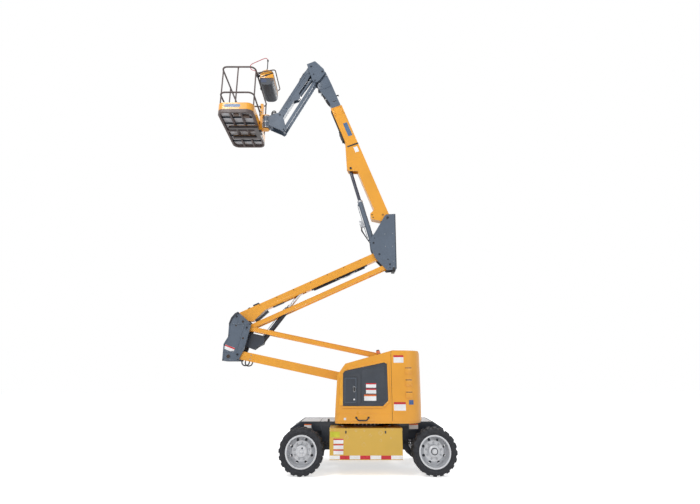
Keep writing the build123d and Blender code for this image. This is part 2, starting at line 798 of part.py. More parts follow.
rod_eye_wall = 9
cylinders = [
    ("riser", riser_low, riser_high, 855, 835, 46, 30, 50, link_pin_r),
    ("main", main_low, main_high, 960, 950, 52, 36, 48, pin_r),
    ("jib", jib_low, jib_high, 560, 545, 33, 20, 30, link_pin_r),
]
for name, low, high, barrel_long, rod_long, barrel_r, rod_r, eye_half, eye_pin in cylinders:
    reach = length_of(minus(high, low))
    with BuildPart() as barrel:
        with BuildSketch(across(low, high, 0)):
            Circle(barrel_r)
        extrude(amount=barrel_long)
        with BuildSketch(upright(at=low)):
            Circle(barrel_r)
        extrude(amount=eye_half, both=True)
        with BuildSketch(across(low, high, barrel_r + 30)):
            Circle(rod_r + seat)
        extrude(amount=barrel_long, mode=Mode.SUBTRACT)
        with BuildSketch(upright(at=low)):
            Circle(eye_pin + pin_fit)
        extrude(amount=2 * eye_half, both=True, mode=Mode.SUBTRACT)
    finish(f"{name}_barrel", barrel)

    with BuildPart() as rod:
        with BuildSketch(across(low, high, reach - rod_long)):
            Circle(rod_r)
        extrude(amount=rod_long)
        with BuildSketch(upright(at=high)):
            Circle(rod_r + rod_eye_wall)
        extrude(amount=rod_r + 4, both=True)
    finish(f"{name}_rod", rod)

# ---- jib ----
jib_slot = 38                    # half width of the slot for the cylinder

with BuildPart() as jib_base:
    for y, half in two_sided(jib_plate_in, jib_plate_out):
        with BuildSketch(upright(y, at=jib_top)):
            with BuildLine():
                Polyline((-95, 65), (85, 147), (30 - jib_head[0], -jib_head[1] + 70),
                         (-jib_head[0] + 60, -jib_head[1] - 30), (jib_offset[0] + 110, jib_offset[1] + 20),
                         (jib_offset[0] + 40, jib_offset[1] - 50), (jib_offset[0] - 45, jib_offset[1] - 20),
                         (-60, -50), close=True)
            make_face()
        extrude(amount=half, both=True)
    with BuildSketch(upright(at=jib_top)):
        with BuildLine():
            Polyline((98, 142), (190, 53), (180, 43), (88, 132), close=True)
        make_face()
    extrude(amount=jib_plate_in, both=True)
    for at, radius in ((head, pin_r), (jib_top, pin_r), (jib_link_top, link_pin_r), (jib_low, link_pin_r)):
        with BuildSketch(upright(at=at)):
            Circle(radius)
        extrude(amount=jib_plate_in, both=True)
finish("jib_base", jib_base)

with BuildPart() as jib:
    with BuildSketch(along(jib_top, jib_tip)):
        with Locations((jib_length / 2, 0)):
            SlotCenterToCenter(jib_length, jib_depth)
    extrude(amount=jib_half, both=True)
    # slot for the jib cylinder
    with BuildSketch(along(jib_top, jib_tip)):
        with BuildLine():
            Polyline((-100, 200), (-100, 38), (60, 38), (380, -30), (900, -30), (1000, 200), close=True)
        make_face()
    extrude(amount=jib_slot, both=True, mode=Mode.SUBTRACT)
    for y, half in two_sided(jib_slot, jib_half):
        with BuildSketch(along(jib_top, jib_tip, y)):
            with BuildLine():
                Polyline((jib_eye_high[0] - 110, jib_depth / 2 - 1), (jib_eye_high[0] - 30, jib_eye_high[1] + 40),
                         (jib_eye_high[0] + 30, jib_eye_high[1] + 40), (jib_eye_high[0] + 110, jib_depth / 2 - 1),
                         close=True)
            make_face()
        extrude(amount=half, both=True)
    with BuildSketch(along(jib_top, jib_tip)):
        with Locations((0, 0), (jib_length, 0)):
            Circle(pin_r + pin_fit)
    extrude(amount=2 * jib_half, both=True, mode=Mode.SUBTRACT)
finish("jib", jib)

with BuildPart() as jib_link:
    for y, half in two_sided(jib_link_in, jib_link_out):
        with BuildSketch(along(jib_link_top, jib_link_tip, y)):
            with Locations((jib_length / 2, 0)):
                SlotCenterToCenter(jib_length, jib_link_depth)
        extrude(amount=half, both=True)
    with BuildSketch(along(jib_link_top, jib_link_tip)):
        with Locations((jib_length - 130, 0)):
            Circle(16)
    extrude(amount=jib_link_in, both=True)
    with BuildSketch(along(jib_link_top, jib_link_tip)):
        with Locations((0, 0), (jib_length, 0)):
            Circle(link_pin_r + pin_fit)
    extrude(amount=2 * jib_half, both=True, mode=Mode.SUBTRACT)
finish("jib_link", jib_link)

rotor_low = floor_low + 50
rotor_high = floor_low + 340
post_clear = rotor_x + 68        # the platform's post turns past here
with BuildPart() as jib_end:
    for y, half in two_sided(jib_plate_in, jib_plate_out):
        with BuildSketch(upright(y, at=jib_tip)):
            with BuildLine():
                Polyline((-20, 60), (55, 35), (jib_offset[0] + 45, jib_offset[1] + 10),
                         (jib_offset[0] - 10, jib_offset[1] - 45), (jib_offset[0] - 60, jib_offset[1] - 10),
                         (post_clear - jib_tip[0], -250), (post_clear - jib_tip[0], -20), close=True)
            make_face()
        extrude(amount=half, both=True)
    with BuildSketch(level(rotor_low, x=rotor_x)):
        Circle(rotor_r)
    extrude(amount=rotor_high - rotor_low)
    with BuildSketch(level(jib_tip[1] - 250, x=rotor_x)):
        with Locations((35, 0)):
            Rectangle(70, 140)
        with Locations((post_clear - rotor_x + 35, 0)):
            Rectangle(70, 2 * jib_plate_out)
    extrude(amount=230)
    for at, radius in ((jib_tip, pin_r), (jib_link_tip, link_pin_r)):
        with BuildSketch(upright(at=at)):
            Circle(radius)
        extrude(amount=jib_plate_in, both=True)
    with BuildSketch(level(rotor_low, x=rotor_x)):
        Circle(30 + pin_fit)
    extrude(amount=rotor_high, mode=Mode.SUBTRACT)
finish("jib_end", jib_end)

# ---- platform ----
rotor_gap = 6
mount_post_x = platform_x + platform_width / 2 + 32
with BuildPart() as platform_mount:
    # upright post, two lugs with the turning pin, and the arms under the floor
    with BuildSketch(level(floor_low - 62, x=mount_post_x)):
        Rectangle(60, 120)
    extrude(amount=700)
    for low in (rotor_low - rotor_gap - 22, rotor_high + rotor_gap):
        with BuildSketch(level(low)):
            with Locations(((rotor_x + mount_post_x) / 2, 0)):
                Rectangle(rotor_x - mount_post_x, 120)
            with Locations((rotor_x, 0)):
                Circle(60)
        extrude(amount=22)
    with BuildSketch(level(rotor_low - rotor_gap - 22, x=rotor_x)):
        Circle(30)
    extrude(amount=rotor_high - rotor_low + 2 * rotor_gap + 44)
    for side in (-1, 1):
        with BuildSketch(level(floor_low - 62, x=platform_x + 60, y=side * 190)):
            Rectangle(platform_width - 120, 60)
        extrude(amount=62)
    with BuildSketch(level(floor_low - 62, x=platform_x + 330)):
        Rectangle(90, 440)
    extrude(amount=62)
finish("platform_mount", platform_mount)

floor_plate = 5
floor_proud = 3                  # the tread panel stands above its frame
panel_inset = 65                 # and stays inside the rails
with BuildPart() as platform_floor:
    with BuildSketch(level(floor_low, x=platform_x)):
        RectangleRounded(platform_width, platform_length, corner_r)
        RectangleRounded(platform_width - 80, platform_length - 80, corner_r - 40, mode=Mode.SUBTRACT)
    extrude(amount=floor_frame)
    with BuildSketch(level(floor_low, x=platform_x)):
        Rectangle(platform_width - 60, 40)
        with Locations((-110, 0), (110, 0)):
            Rectangle(30, platform_length - 60)
    extrude(amount=floor_frame - floor_plate)
    with BuildSketch(level(floor_low + floor_frame - floor_plate, x=platform_x)):
        RectangleRounded(platform_width - 70, platform_length - 70, corner_r - 40)
    extrude(amount=floor_plate)
    with BuildSketch(level(floor_low + floor_frame, x=platform_x)):
        RectangleRounded(platform_width - 2 * panel_inset, platform_length - 2 * panel_inset, corner_r - panel_inset)
    extrude(amount=floor_proud)
finish("platform_floor", platform_floor)

rail_top_z = floor_low + rail_high - rail_r
rail_mid_z = floor_low + 470
rail_half_x = platform_width / 2 - rail_r - 2
rail_half_y = platform_length / 2 - rail_r - 2
rail_corner = 110
toe_high = 150
toe_thick = 4

entry_half = 250                 # half the gap between the entry posts, at the far end
collar_r = 24
collar_high = 60
post_r = rail_r - 3

with BuildPart() as platform_rails:
    for z in (rail_top_z, rail_mid_z):
        with BuildLine(level(z, x=platform_x)) as loop:
            Polyline((-rail_half_x, -rail_half_y), (rail_half_x, -rail_half_y), (rail_half_x, rail_half_y),
                     (-rail_half_x, rail_half_y), close=True)
            fillet(loop.vertices(), rail_corner)
        with BuildSketch(Plane(origin=(swing_x + platform_x, -rail_half_y, z), x_dir=(0, 1, 0),
                               z_dir=(1, 0, 0))):
            Circle(rail_r)
        sweep(path=loop.wires()[0])
    # entry gap in the mid rail
    with BuildSketch(level(rail_mid_z - 40, x=platform_x, y=rail_half_y)):
        Rectangle(2 * entry_half, 80)
    extrude(amount=80, mode=Mode.SUBTRACT)
    # posts: x and y from the platform's middle
    posts = [(-rail_half_x, -rail_half_y + rail_corner), (-rail_half_x, 0), (-rail_half_x, rail_half_y - rail_corner),
             (rail_half_x, -rail_half_y + rail_corner), (rail_half_x, rail_half_y - rail_corner),
             (0, -rail_half_y), (-entry_half, rail_half_y), (entry_half, rail_half_y)]
    with BuildSketch(level(floor_low + floor_frame, x=platform_x)):
        with Locations(*posts):
            Circle(post_r)
    extrude(amount=rail_top_z - floor_low - floor_frame)
finish("platform_rails", platform_rails)

# the part of the mid rail that slides up its two posts to open the entry
with BuildPart() as entry_rail:
    with BuildSketch(level(rail_mid_z + rail_r + 4, x=platform_x, y=rail_half_y)):
        with Locations((-entry_half, 0), (entry_half, 0)):
            Circle(collar_r)
    extrude(amount=collar_high)
    with BuildSketch(Plane(origin=(swing_x + platform_x, rail_half_y, rail_mid_z + rail_r + 4 + collar_high / 2),
                           x_dir=(0, 1, 0), z_dir=(1, 0, 0))):
        Circle(rail_r)
    extrude(amount=entry_half - 5, both=True)
    with BuildSketch(level(rail_mid_z, x=platform_x, y=rail_half_y)):
        with Locations((-entry_half, 0), (entry_half, 0)):
            Circle(post_r + seat)
    extrude(amount=4 * collar_high, mode=Mode.SUBTRACT)
finish("entry_rail", entry_rail)

console_y = (-450, 150)          # near and far faces of the platform console
console_z = (7400, 7760)
console_x = (-2185, -1900)
with BuildPart() as platform_console:
    with BuildSketch(upright(console_y[0])):
        with Locations(((console_x[0] + console_x[1]) / 2, (console_z[0] + console_z[1]) / 2)):
            RectangleRounded(console_x[1] - console_x[0], console_z[1] - console_z[0], 110)
    extrude(amount=console_y[0] - console_y[1])
    # two hangers clamped on the top rail
    for y in (-400, 30):
        with BuildSketch(upright(y)):
            with Locations((platform_x + rail_half_x, rail_top_z)):
                Circle(rail_r + 14)
            with Locations(((platform_x + rail_half_x + console_x[0]) / 2 + 5, rail_top_z)):
                Rectangle(console_x[0] - platform_x - rail_half_x + 10, 30)
            with Locations((platform_x + rail_half_x, rail_top_z)):
                Circle(rail_r + seat, mode=Mode.SUBTRACT)
        extrude(amount=20, both=True)
finish("platform_console", platform_console)
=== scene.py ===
"""Articulating boom lift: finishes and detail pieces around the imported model."""
import json
from math import atan2, cos, pi, radians, sin

import bpy
from mathutils import Matrix, Vector


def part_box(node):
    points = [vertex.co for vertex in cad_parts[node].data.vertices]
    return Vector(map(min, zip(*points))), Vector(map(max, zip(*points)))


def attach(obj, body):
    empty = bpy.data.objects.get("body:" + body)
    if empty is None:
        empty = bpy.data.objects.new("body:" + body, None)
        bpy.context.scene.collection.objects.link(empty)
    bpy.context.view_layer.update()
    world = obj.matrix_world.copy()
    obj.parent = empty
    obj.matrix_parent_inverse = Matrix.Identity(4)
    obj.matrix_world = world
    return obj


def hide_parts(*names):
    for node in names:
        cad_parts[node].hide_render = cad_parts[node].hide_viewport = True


bl_info = {
    "name": "Boom Lift Dressing",
    "version": (1, 0, 0),
    "blender": (4, 5, 0),
    "location": "View3D > Sidebar > Boom Lift",
    "description": "Gives the boom lift its finishes and its small pieces",
    "category": "Object",
}

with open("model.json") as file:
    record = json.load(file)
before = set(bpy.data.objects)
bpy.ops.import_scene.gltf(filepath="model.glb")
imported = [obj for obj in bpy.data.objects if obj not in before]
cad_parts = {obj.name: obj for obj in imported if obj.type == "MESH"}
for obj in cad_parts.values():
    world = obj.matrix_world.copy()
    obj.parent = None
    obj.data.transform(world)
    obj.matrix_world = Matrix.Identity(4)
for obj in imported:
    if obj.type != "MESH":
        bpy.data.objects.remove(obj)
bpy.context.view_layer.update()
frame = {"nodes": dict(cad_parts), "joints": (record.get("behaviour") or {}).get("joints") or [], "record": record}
JOINTS = {joint["name"]: joint for joint in frame["joints"]}
SIDES = ((-1, "near"), (1, "far"))
SMOOTH = radians(35)            # faces that meet at less than this are shaded as one


# ---- what a user would change ----
def colour(name, text, value):
    return bpy.props.FloatVectorProperty(name=name, description=text, default=value, subtype="COLOR", size=3,
                                         min=0, max=1)


def length(name, text, value):
    return bpy.props.FloatProperty(name=name, description=text, default=value, unit="LENGTH", min=0)


class LiftColours(bpy.types.PropertyGroup):
    yellow: colour("Yellow paint", "Covers, booms and toe boards", (0.871, 0.379, 0.022))
    slate: colour("Blue-grey paint", "Knuckles, extension and jib", (0.094, 0.124, 0.168))
    navy: colour("Dark paint", "Chassis and cylinders", (0.012, 0.017, 0.028))
    silver: colour("Rim paint", "Wheel rims", (0.62, 0.63, 0.65))
    rubber: colour("Rubber", "Tyres and hoses", (0.014, 0.015, 0.019))
    rail: colour("Rail steel", "Platform rails", (0.112, 0.083, 0.078))
    deck: colour("Deck", "Pale deck plates", (0.46, 0.46, 0.48))
    plastic: colour("Dark plastic", "Control doors and grips", (0.035, 0.042, 0.055))
    box_yellow: colour("Side box paint", "Greener yellow of the side boxes", (0.70, 0.43, 0.055))
    amber: colour("Beacon lens", "Warning beacon", (0.86, 0.19, 0.035))
    strap: colour("Strap", "Red safety strap", (0.50, 0.012, 0.035))


class LiftSizes(bpy.types.PropertyGroup):
    plate: length("Blank plate", "Thickness of the blank plates", 0.0012)
    tyre: length("Tyre", "Radius of the tyres over their lugs", 0.3568)
    lug: length("Tyre lug", "Depth of the lugs' feet under the tread", 0.030)


# ---- modelling helpers ----
def leave_edit():
    if bpy.context.mode != "OBJECT":
        bpy.ops.object.mode_set(mode="OBJECT")


def only(piece):
    """Select this piece alone and make it active."""
    leave_edit()
    bpy.ops.object.select_all(action="DESELECT")
    piece.select_set(True)
    bpy.context.view_layer.objects.active = piece


def deselect():
    leave_edit()
    bpy.ops.object.select_all(action="DESELECT")


def edit(piece, mode="FACE", action="SELECT"):
    only(piece)
    bpy.ops.object.mode_set(mode="EDIT")
    bpy.ops.mesh.select_mode(type=mode)
    bpy.ops.mesh.select_all(action=action)


def pick(piece, test):
    """In edit mode, select the faces whose centre and normal pass the test."""
    edit(piece, action="DESELECT")
    leave_edit()
    for face in piece.data.polygons:
        face.select = test(face.center, face.normal)
    bpy.ops.object.mode_set(mode="EDIT")


def settle(piece):
    only(piece)
    bpy.ops.object.transform_apply(location=True, rotation=True, scale=True)


def turned(place, turn, axis):
    """The move that turns a piece about an axis and then takes its origin to place."""
    return Matrix.Translation(place) @ Matrix.Rotation(turn, 4, axis)


def moved(piece, move):
    piece.matrix_world = move
    settle(piece)
    return piece


def stand(piece, origin, angle=0.0):
    """Turn a piece about the across axis by angle (x towards z) and move it to origin."""
    return moved(piece, turned(origin, -angle, "Y"))


def box(name, low, high, edge=0.003, segments=2):
    """A block between two corners with rounded edges."""
    deselect()
    low, high = Vector(low), Vector(high)
    bpy.ops.mesh.primitive_cube_add(size=1, location=(low + high) / 2)
    piece = bpy.context.object
    piece.name = name
    piece.scale = high - low
    settle(piece)
    edit(piece)
    bpy.ops.mesh.bevel(offset=min(edge, 0.45 * min(high - low)), segments=segments, affect="EDGES")
    leave_edit()
    return piece


def ring_of(name, points):
    """A closed loop of edges through the points."""
    deselect()
    bpy.ops.mesh.primitive_circle_add(vertices=len(points), radius=1, fill_type="NOTHING")
    piece = bpy.context.object
    piece.name = name
    for vertex, point in zip(piece.data.vertices, points):
        vertex.co = point
    return piece


def prism(name, outline, depth, across=0.0, edge=0.003, segments=2):
    """An outline in x and z, extruded along y about across, with rounded edges."""
    piece = ring_of(name, [(x, across - depth / 2, z) for x, z in outline])
    edit(piece, "VERT")
    bpy.ops.mesh.edge_face_add()
    bpy.ops.mesh.extrude_region_move(TRANSFORM_OT_translate={"value": (0, depth, 0)})
    if edge:
        bpy.ops.mesh.select_mode(type="FACE")
        bpy.ops.mesh.select_all(action="SELECT")
        bpy.ops.mesh.bevel(offset=min(edge, 0.4 * depth), segments=segments, affect="EDGES")
    leave_edit()
    return piece


def lathe(name, profile, steps=32):
    """A profile of (radius, y) turned about the y axis; a first and last radius of 0 close it."""
    piece = ring_of(name, [(radius, y, 0) for radius, y in profile])
    edit(piece, "VERT")
    bpy.ops.mesh.spin(steps=steps, angle=2 * pi, center=(0, 0, 0), axis=(0, 1, 0))
    bpy.ops.mesh.select_all(action="SELECT")
    bpy.ops.mesh.remove_doubles(threshold=0.00002)
    bpy.ops.mesh.delete_loose()
    leave_edit()
    return piece


def hose(name, points, radius, resolution=8):
    """A smooth round tube through a loose line of points."""
    deselect()
    bpy.ops.curve.primitive_nurbs_path_add()
    piece = bpy.context.object
    piece.name = name
    curve = piece.data
    curve.splines.clear()
    spline = curve.splines.new("NURBS")
    spline.points.add(len(points) - 1)
    for point, place in zip(spline.points, points):
        point.co = (*place, 1)
    spline.order_u = 3
    spline.use_endpoint_u = True
    curve.resolution_u = resolution
    curve.bevel_depth = radius
    curve.bevel_resolution = 3
    curve.use_fill_caps = True
    bpy.ops.object.convert(target="MESH")
    return bpy.context.object


def copy_to(piece, moves):
    """The piece once at each move, all joined into one mesh."""
    copies = []
    for move in moves:
        only(piece)
        bpy.ops.object.duplicate(linked=False)
        twin = bpy.context.object
        moved(twin, (move if isinstance(move, Matrix) else Matrix.Translation(move)) @ twin.matrix_world)
        copies.append(twin)
    bpy.data.objects.remove(piece, do_unlink=True)
    return join(copies)


def join(pieces, name=None):
    deselect()
    for piece in pieces:
        piece.select_set(True)
    bpy.context.view_layer.objects.active = pieces[0]
    if len(pieces) > 1:
        bpy.ops.object.join()
    if name:
        pieces[0].name = name
    return pieces[0]


def mirrored(piece):
    """The piece and its mirror image on the other side of the middle plane, as one mesh."""
    only(piece)
    bpy.ops.object.duplicate(linked=False)
    twin = bpy.context.object
    twin.scale = (1, -1, 1)
    settle(twin)
    edit(twin)
    bpy.ops.mesh.flip_normals()
    leave_edit()
    return join([piece, twin])


def done(piece, material, body, slot):
    """Last steps of every new piece: normals, smoothing, finish and the body that it rides on."""
    settle(piece)
    edit(piece)
    bpy.ops.mesh.normals_make_consistent(inside=False)
    leave_edit()
    bpy.ops.object.shade_smooth_by_angle(angle=SMOOTH)
    piece.data.materials.clear()
    piece.data.materials.append(material)
    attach(piece, body)
    return piece


# the record's material slot of each finish, where it isn't given
SLOTS = {
    "yellow_paint": "yellow_paint", "grey_paint": "grey_paint", "rail_steel": "rail_steel",
    "hose_rubber": "tyre_rubber", "black_plastic": "dark_plastic", "valve_pale": "grey_paint",
    "dark_bolt": "dark_steel", "bolt_steel": "dark_steel", "dark_steel": "dark_steel",
    "hole_shade_rust": "dark_steel",
}


def fit(pieces, name, finish, body, slot=None, pair=False):
    """Join pieces under a name, mirror them if they are a pair, and finish them."""
    piece = join(pieces, name)
    return done(mirrored(piece) if pair else piece, FINISH[finish], body, slot or SLOTS[finish])


# ---- places on the machine ----
def pin(joint):
    return Vector(JOINTS[joint]["pos_m"])


def corner(node):
    low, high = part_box(node)
    return Vector(low), Vector(high)


class Member:
    """A slanted member: local x along it, local z square to it and upwards, y across."""

    def __init__(self, start, end):
        self.start = Vector(start)
        run = Vector(end) - self.start
        self.long = Vector((run.x, 0, run.z)).length
        self.angle = atan2(run.z, run.x)

    def at(self, x, z, y=0.0):
        c, s = cos(self.angle), sin(self.angle)
        return Vector((self.start.x + x * c - z * s, y, self.start.z + x * s + z * c))

    def stand(self, piece):
        return stand(piece, (self.start.x, 0, self.start.z), self.angle)

    def slab(self, name, low, high, edge=0.003):
        """A block between two corners in the member's own x, y and z."""
        return self.stand(box(name, low, high, edge))

    def lines(self, path, radius, sides):
        """Hoses side by side, one at each y of sides, through a path in the member's own x and z."""
        return [hose("line", [self.at(x, z, y) for x, z in path], radius) for y in sides]


# ---- finishes ----
def nodes_of(name):
    """A new material, its nodes and the place on the object."""
    material = bpy.data.materials.new(name)
    material.use_nodes = True
    tree = material.node_tree
    place = tree.nodes.new("ShaderNodeTexCoord")
    return material, tree, place.outputs["Object"]


def noise(tree, vector, scale, detail=3.0, rough=0.55):
    node = tree.nodes.new("ShaderNodeTexNoise")
    node.inputs["Scale"].default_value = scale
    node.inputs["Detail"].default_value = detail
    node.inputs["Roughness"].default_value = rough
    tree.links.new(vector, node.inputs["Vector"])
    return node.outputs["Fac"]


def ramp(tree, value, stops):
    """Colours along a value: (position, colour) pairs."""
    node = tree.nodes.new("ShaderNodeValToRGB")
    elements = node.color_ramp.elements
    while len(elements) < len(stops):
        elements.new(0.5)
    for element, (position, shade) in zip(elements, stops):
        element.position = position
        element.color = (*shade, 1)
    tree.links.new(value, node.inputs["Fac"])
    return node.outputs["Color"]


def spread(tree, value, low, high, start=0.3, end=0.7):
    node = tree.nodes.new("ShaderNodeMapRange")
    for key, number in (("From Min", start), ("From Max", end), ("To Min", low), ("To Max", high)):
        node.inputs[key].default_value = number
    tree.links.new(value, node.inputs["Value"])
    return node.outputs["Result"]


def mix(tree, factor, first, second):
    node = tree.nodes.new("ShaderNodeMix")
    node.data_type = "RGBA"
    for key, source in (("Factor", factor), (6, first), (7, second)):
        if isinstance(source, (int, float)):
            node.inputs[key].default_value = source
        elif isinstance(source, tuple):
            node.inputs[key].default_value = (*source, 1)
        else:
            tree.links.new(source, node.inputs[key])
    return node.outputs[2]


def math_node(tree, kind, first, second=0.5):
    node = tree.nodes.new("ShaderNodeMath")
    node.operation = kind
    for key, source in ((0, first), (1, second)):
        if isinstance(source, (int, float)):
            node.inputs[key].default_value = source
        else:
            tree.links.new(source, node.inputs[key])
    return node.outputs[0]


def shade(base, factor):
    return tuple(min(1.0, channel * factor) for channel in base)


def surface(material, body, rough, height, strength, distance, **levels):
    """Give a material its colour, its roughness and the height of its bumps, and set its other levels."""
    tree = material.node_tree
    shader = tree.nodes["Principled BSDF"]
    tree.links.new(body, shader.inputs["Base Color"])
    if isinstance(rough, float):
        shader.inputs["Roughness"].default_value = rough
    else:
        tree.links.new(rough, shader.inputs["Roughness"])
    bump = tree.nodes.new("ShaderNodeBump")
    bump.inputs["Strength"].default_value = strength
    bump.inputs["Distance"].default_value = distance
    tree.links.new(height, bump.inputs["Height"])
    tree.links.new(bump.outputs["Normal"], shader.inputs["Normal"])
    for key, level in levels.items():
        shader.inputs[key.replace("_", " ").title()].default_value = level
    return material


def cells_of(tree, vector, scale, randomness):
    node = tree.nodes.new("ShaderNodeTexVoronoi")
    node.inputs["Scale"].default_value = scale
    node.inputs["Randomness"].default_value = randomness
    tree.links.new(vector, node.inputs["Vector"])
    return node


def painted(name, base, roughness, drift, wear=None, coat=0.0, metal=0.0):
    """Sprayed paint: slow drift of tone, fine orange peel, and faint scuffs of another colour."""
    material, tree, place = nodes_of(name)
    tone = noise(tree, place, 1.7)
    body = ramp(tree, tone, [(0.32, shade(base, 1 - drift)), (0.68, shade(base, 1 + drift * 0.6))])
    if wear:
        scuff = spread(tree, noise(tree, place, 38, 6, 0.75), 0, 1, 0.62, 0.72)
        patch = spread(tree, noise(tree, place, 3.1, 2), 0, 1, 0.5, 0.7)
        body = mix(tree, math_node(tree, "MULTIPLY", scuff, patch), body, wear)
    rough = spread(tree, noise(tree, place, 9, 4), roughness - 0.07, roughness + 0.09)
    return surface(material, body, rough, noise(tree, place, 220, 2), 0.05, 0.0006, coat_weight=coat,
                   metallic=metal)


def rubber(name, base):
    """Moulded rubber with a dusty bloom."""
    material, tree, place = nodes_of(name)
    dust = spread(tree, noise(tree, place, 14, 5, 0.7), 0, 0.5, 0.45, 0.75)
    rough = spread(tree, noise(tree, place, 30), 0.62, 0.85)
    return surface(material, mix(tree, dust, base, shade(base, 2.6)), rough, noise(tree, place, 420, 3), 0.25,
                   0.0008)


def bare_metal(name, base, roughness):
    """Machined or plated steel with a fine grain."""
    material, tree, place = nodes_of(name)
    grain = noise(tree, place, 160, 3)
    return surface(material, ramp(tree, grain, [(0.3, shade(base, 0.86)), (0.7, base)]),
                   spread(tree, grain, roughness - 0.05, roughness + 0.08), grain, 0.06, 0.0004, metallic=1.0)


def plastic(name, base, roughness=0.45, grain=600):
    """Moulded plastic with a fine texture."""
    material, tree, place = nodes_of(name)
    body = ramp(tree, noise(tree, place, 6), [(0.3, shade(base, 0.85)), (0.7, shade(base, 1.15))])
    rough = spread(tree, noise(tree, place, 25), roughness - 0.06, roughness + 0.08)
    return surface(material, body, rough, noise(tree, place, grain, 2), 0.12, 0.0005)


def lens(name, base):
    """Moulded lens with rings of ribs."""
    material, tree, place = nodes_of(name)
    wave = tree.nodes.new("ShaderNodeTexWave")
    wave.bands_direction = "Z"
    wave.inputs["Scale"].default_value = 60
    tree.links.new(place, wave.inputs["Vector"])
    ribs = wave.outputs["Fac"]
    return surface(material, ramp(tree, ribs, [(0.2, shade(base, 0.8)), (0.8, shade(base, 1.1))]), 0.18, ribs,
                   0.3, 0.001, transmission_weight=0.15, coat_weight=0.6)


def tread_plate(name, base):
    """Pale deck sheet with a raised grip pattern."""
    material, tree, place = nodes_of(name)
    grip = cells_of(tree, place, 55, 0.15)
    grip.feature = "DISTANCE_TO_EDGE"
    dirt = noise(tree, place, 7, 6, 0.65)
    body = ramp(tree, dirt, [(0.3, shade(base, 0.62)), (0.5, shade(base, 0.95)), (0.7, shade(base, 1.2))])
    ridge = spread(tree, grip.outputs["Distance"], 0, 1, 0.05, 0.2)
    return surface(material, body, spread(tree, dirt, 0.45, 0.7), ridge, 0.35, 0.0015, metallic=0.25)


def punched_sheet(name, base):
    """Pale sheet with rows of small dark holes."""
    material, tree, place = nodes_of(name)
    hole = math_node(tree, "LESS_THAN", cells_of(tree, place, 34, 0.0).outputs["Distance"], 0.26)
    tone = ramp(tree, noise(tree, place, 6, 4), [(0.3, shade(base, 0.85)), (0.7, shade(base, 1.1))])
    return surface(material, mix(tree, hole, tone, shade(base, 0.35)),
                   spread(tree, noise(tree, place, 20), 0.4, 0.6), math_node(tree, "SUBTRACT", 1.0, hole),
                   0.3, 0.001)


def repaint(material):
    """The tree, shader and place of a painted material, and the colour that it shows now."""
    tree = material.node_tree
    shader = tree.nodes["Principled BSDF"]
    place = tree.nodes.new("ShaderNodeTexCoord").outputs["Object"]
    return tree, shader, place, shader.inputs["Base Color"].links[0].from_socket


def two_tone(name, upper, lower, axis, limit, inside=False):
    """Paint of one colour beyond a limit on an axis and of another before it, alike on both sides."""
    material = painted(name, upper, 0.36, 0.10, coat=0.25, wear=shade(upper, 0.72))
    tree, shader, place, body = repaint(material)
    parts = tree.nodes.new("ShaderNodeSeparateXYZ")
    tree.links.new(place, parts.inputs[0])
    reach = parts.outputs[axis]
    if axis == "Y":
        reach = math_node(tree, "ABSOLUTE", reach, 0)
    beyond = math_node(tree, "LESS_THAN" if inside else "GREATER_THAN", reach, limit)
    dark = ramp(tree, noise(tree, place, 5), [(0.3, shade(lower, 0.8)), (0.7, shade(lower, 1.25))])
    tree.links.new(mix(tree, beyond, dark, body), shader.inputs["Base Color"])
    return material


def diamonds(name, base):
    """Side box paint with a scatter of faint pale diamond outlines in its upper part."""
    material = painted(name, base, 0.36, 0.06, coat=0.3)
    tree, shader, place, body = repaint(material)
    flat = tree.nodes.new("ShaderNodeMapping")
    flat.inputs["Scale"].default_value = (1, 0, 1)
    tree.links.new(place, flat.inputs["Vector"])
    cells = cells_of(tree, flat.outputs["Vector"], 9.5, 0.8)
    cells.distance = "MANHATTAN"
    near = math_node(tree, "SUBTRACT", cells.outputs["Distance"], 0.34)
    ring = math_node(tree, "LESS_THAN", math_node(tree, "ABSOLUTE", near, 0), 0.022)
    parts = tree.nodes.new("ShaderNodeSeparateXYZ")
    tree.links.new(place, parts.inputs[0])
    rise = spread(tree, parts.outputs["Z"], 0, 1, 0.42, 0.56)
    patch = spread(tree, noise(tree, flat.outputs["Vector"], 4.0, 1), 0, 1, 0.42, 0.50)
    amount = math_node(tree, "MULTIPLY", math_node(tree, "MULTIPLY", ring, rise),
                       math_node(tree, "MULTIPLY", patch, 0.75))
    tree.links.new(mix(tree, amount, body, (0.72, 0.62, 0.42)), shader.inputs["Base Color"])
    return material


# ---- finishes of the machine ----
FINISH = {}
BLANKS = {"blank_white": (0.94, 0.94, 0.94), "blank_red": (0.60, 0.02, 0.03),
          "blank_orange": (0.78, 0.16, 0.03), "blank_lime": (0.62, 0.60, 0.03),
          "blank_blue": (0.05, 0.12, 0.30), "blank_slate": (0.085, 0.165, 0.30)}


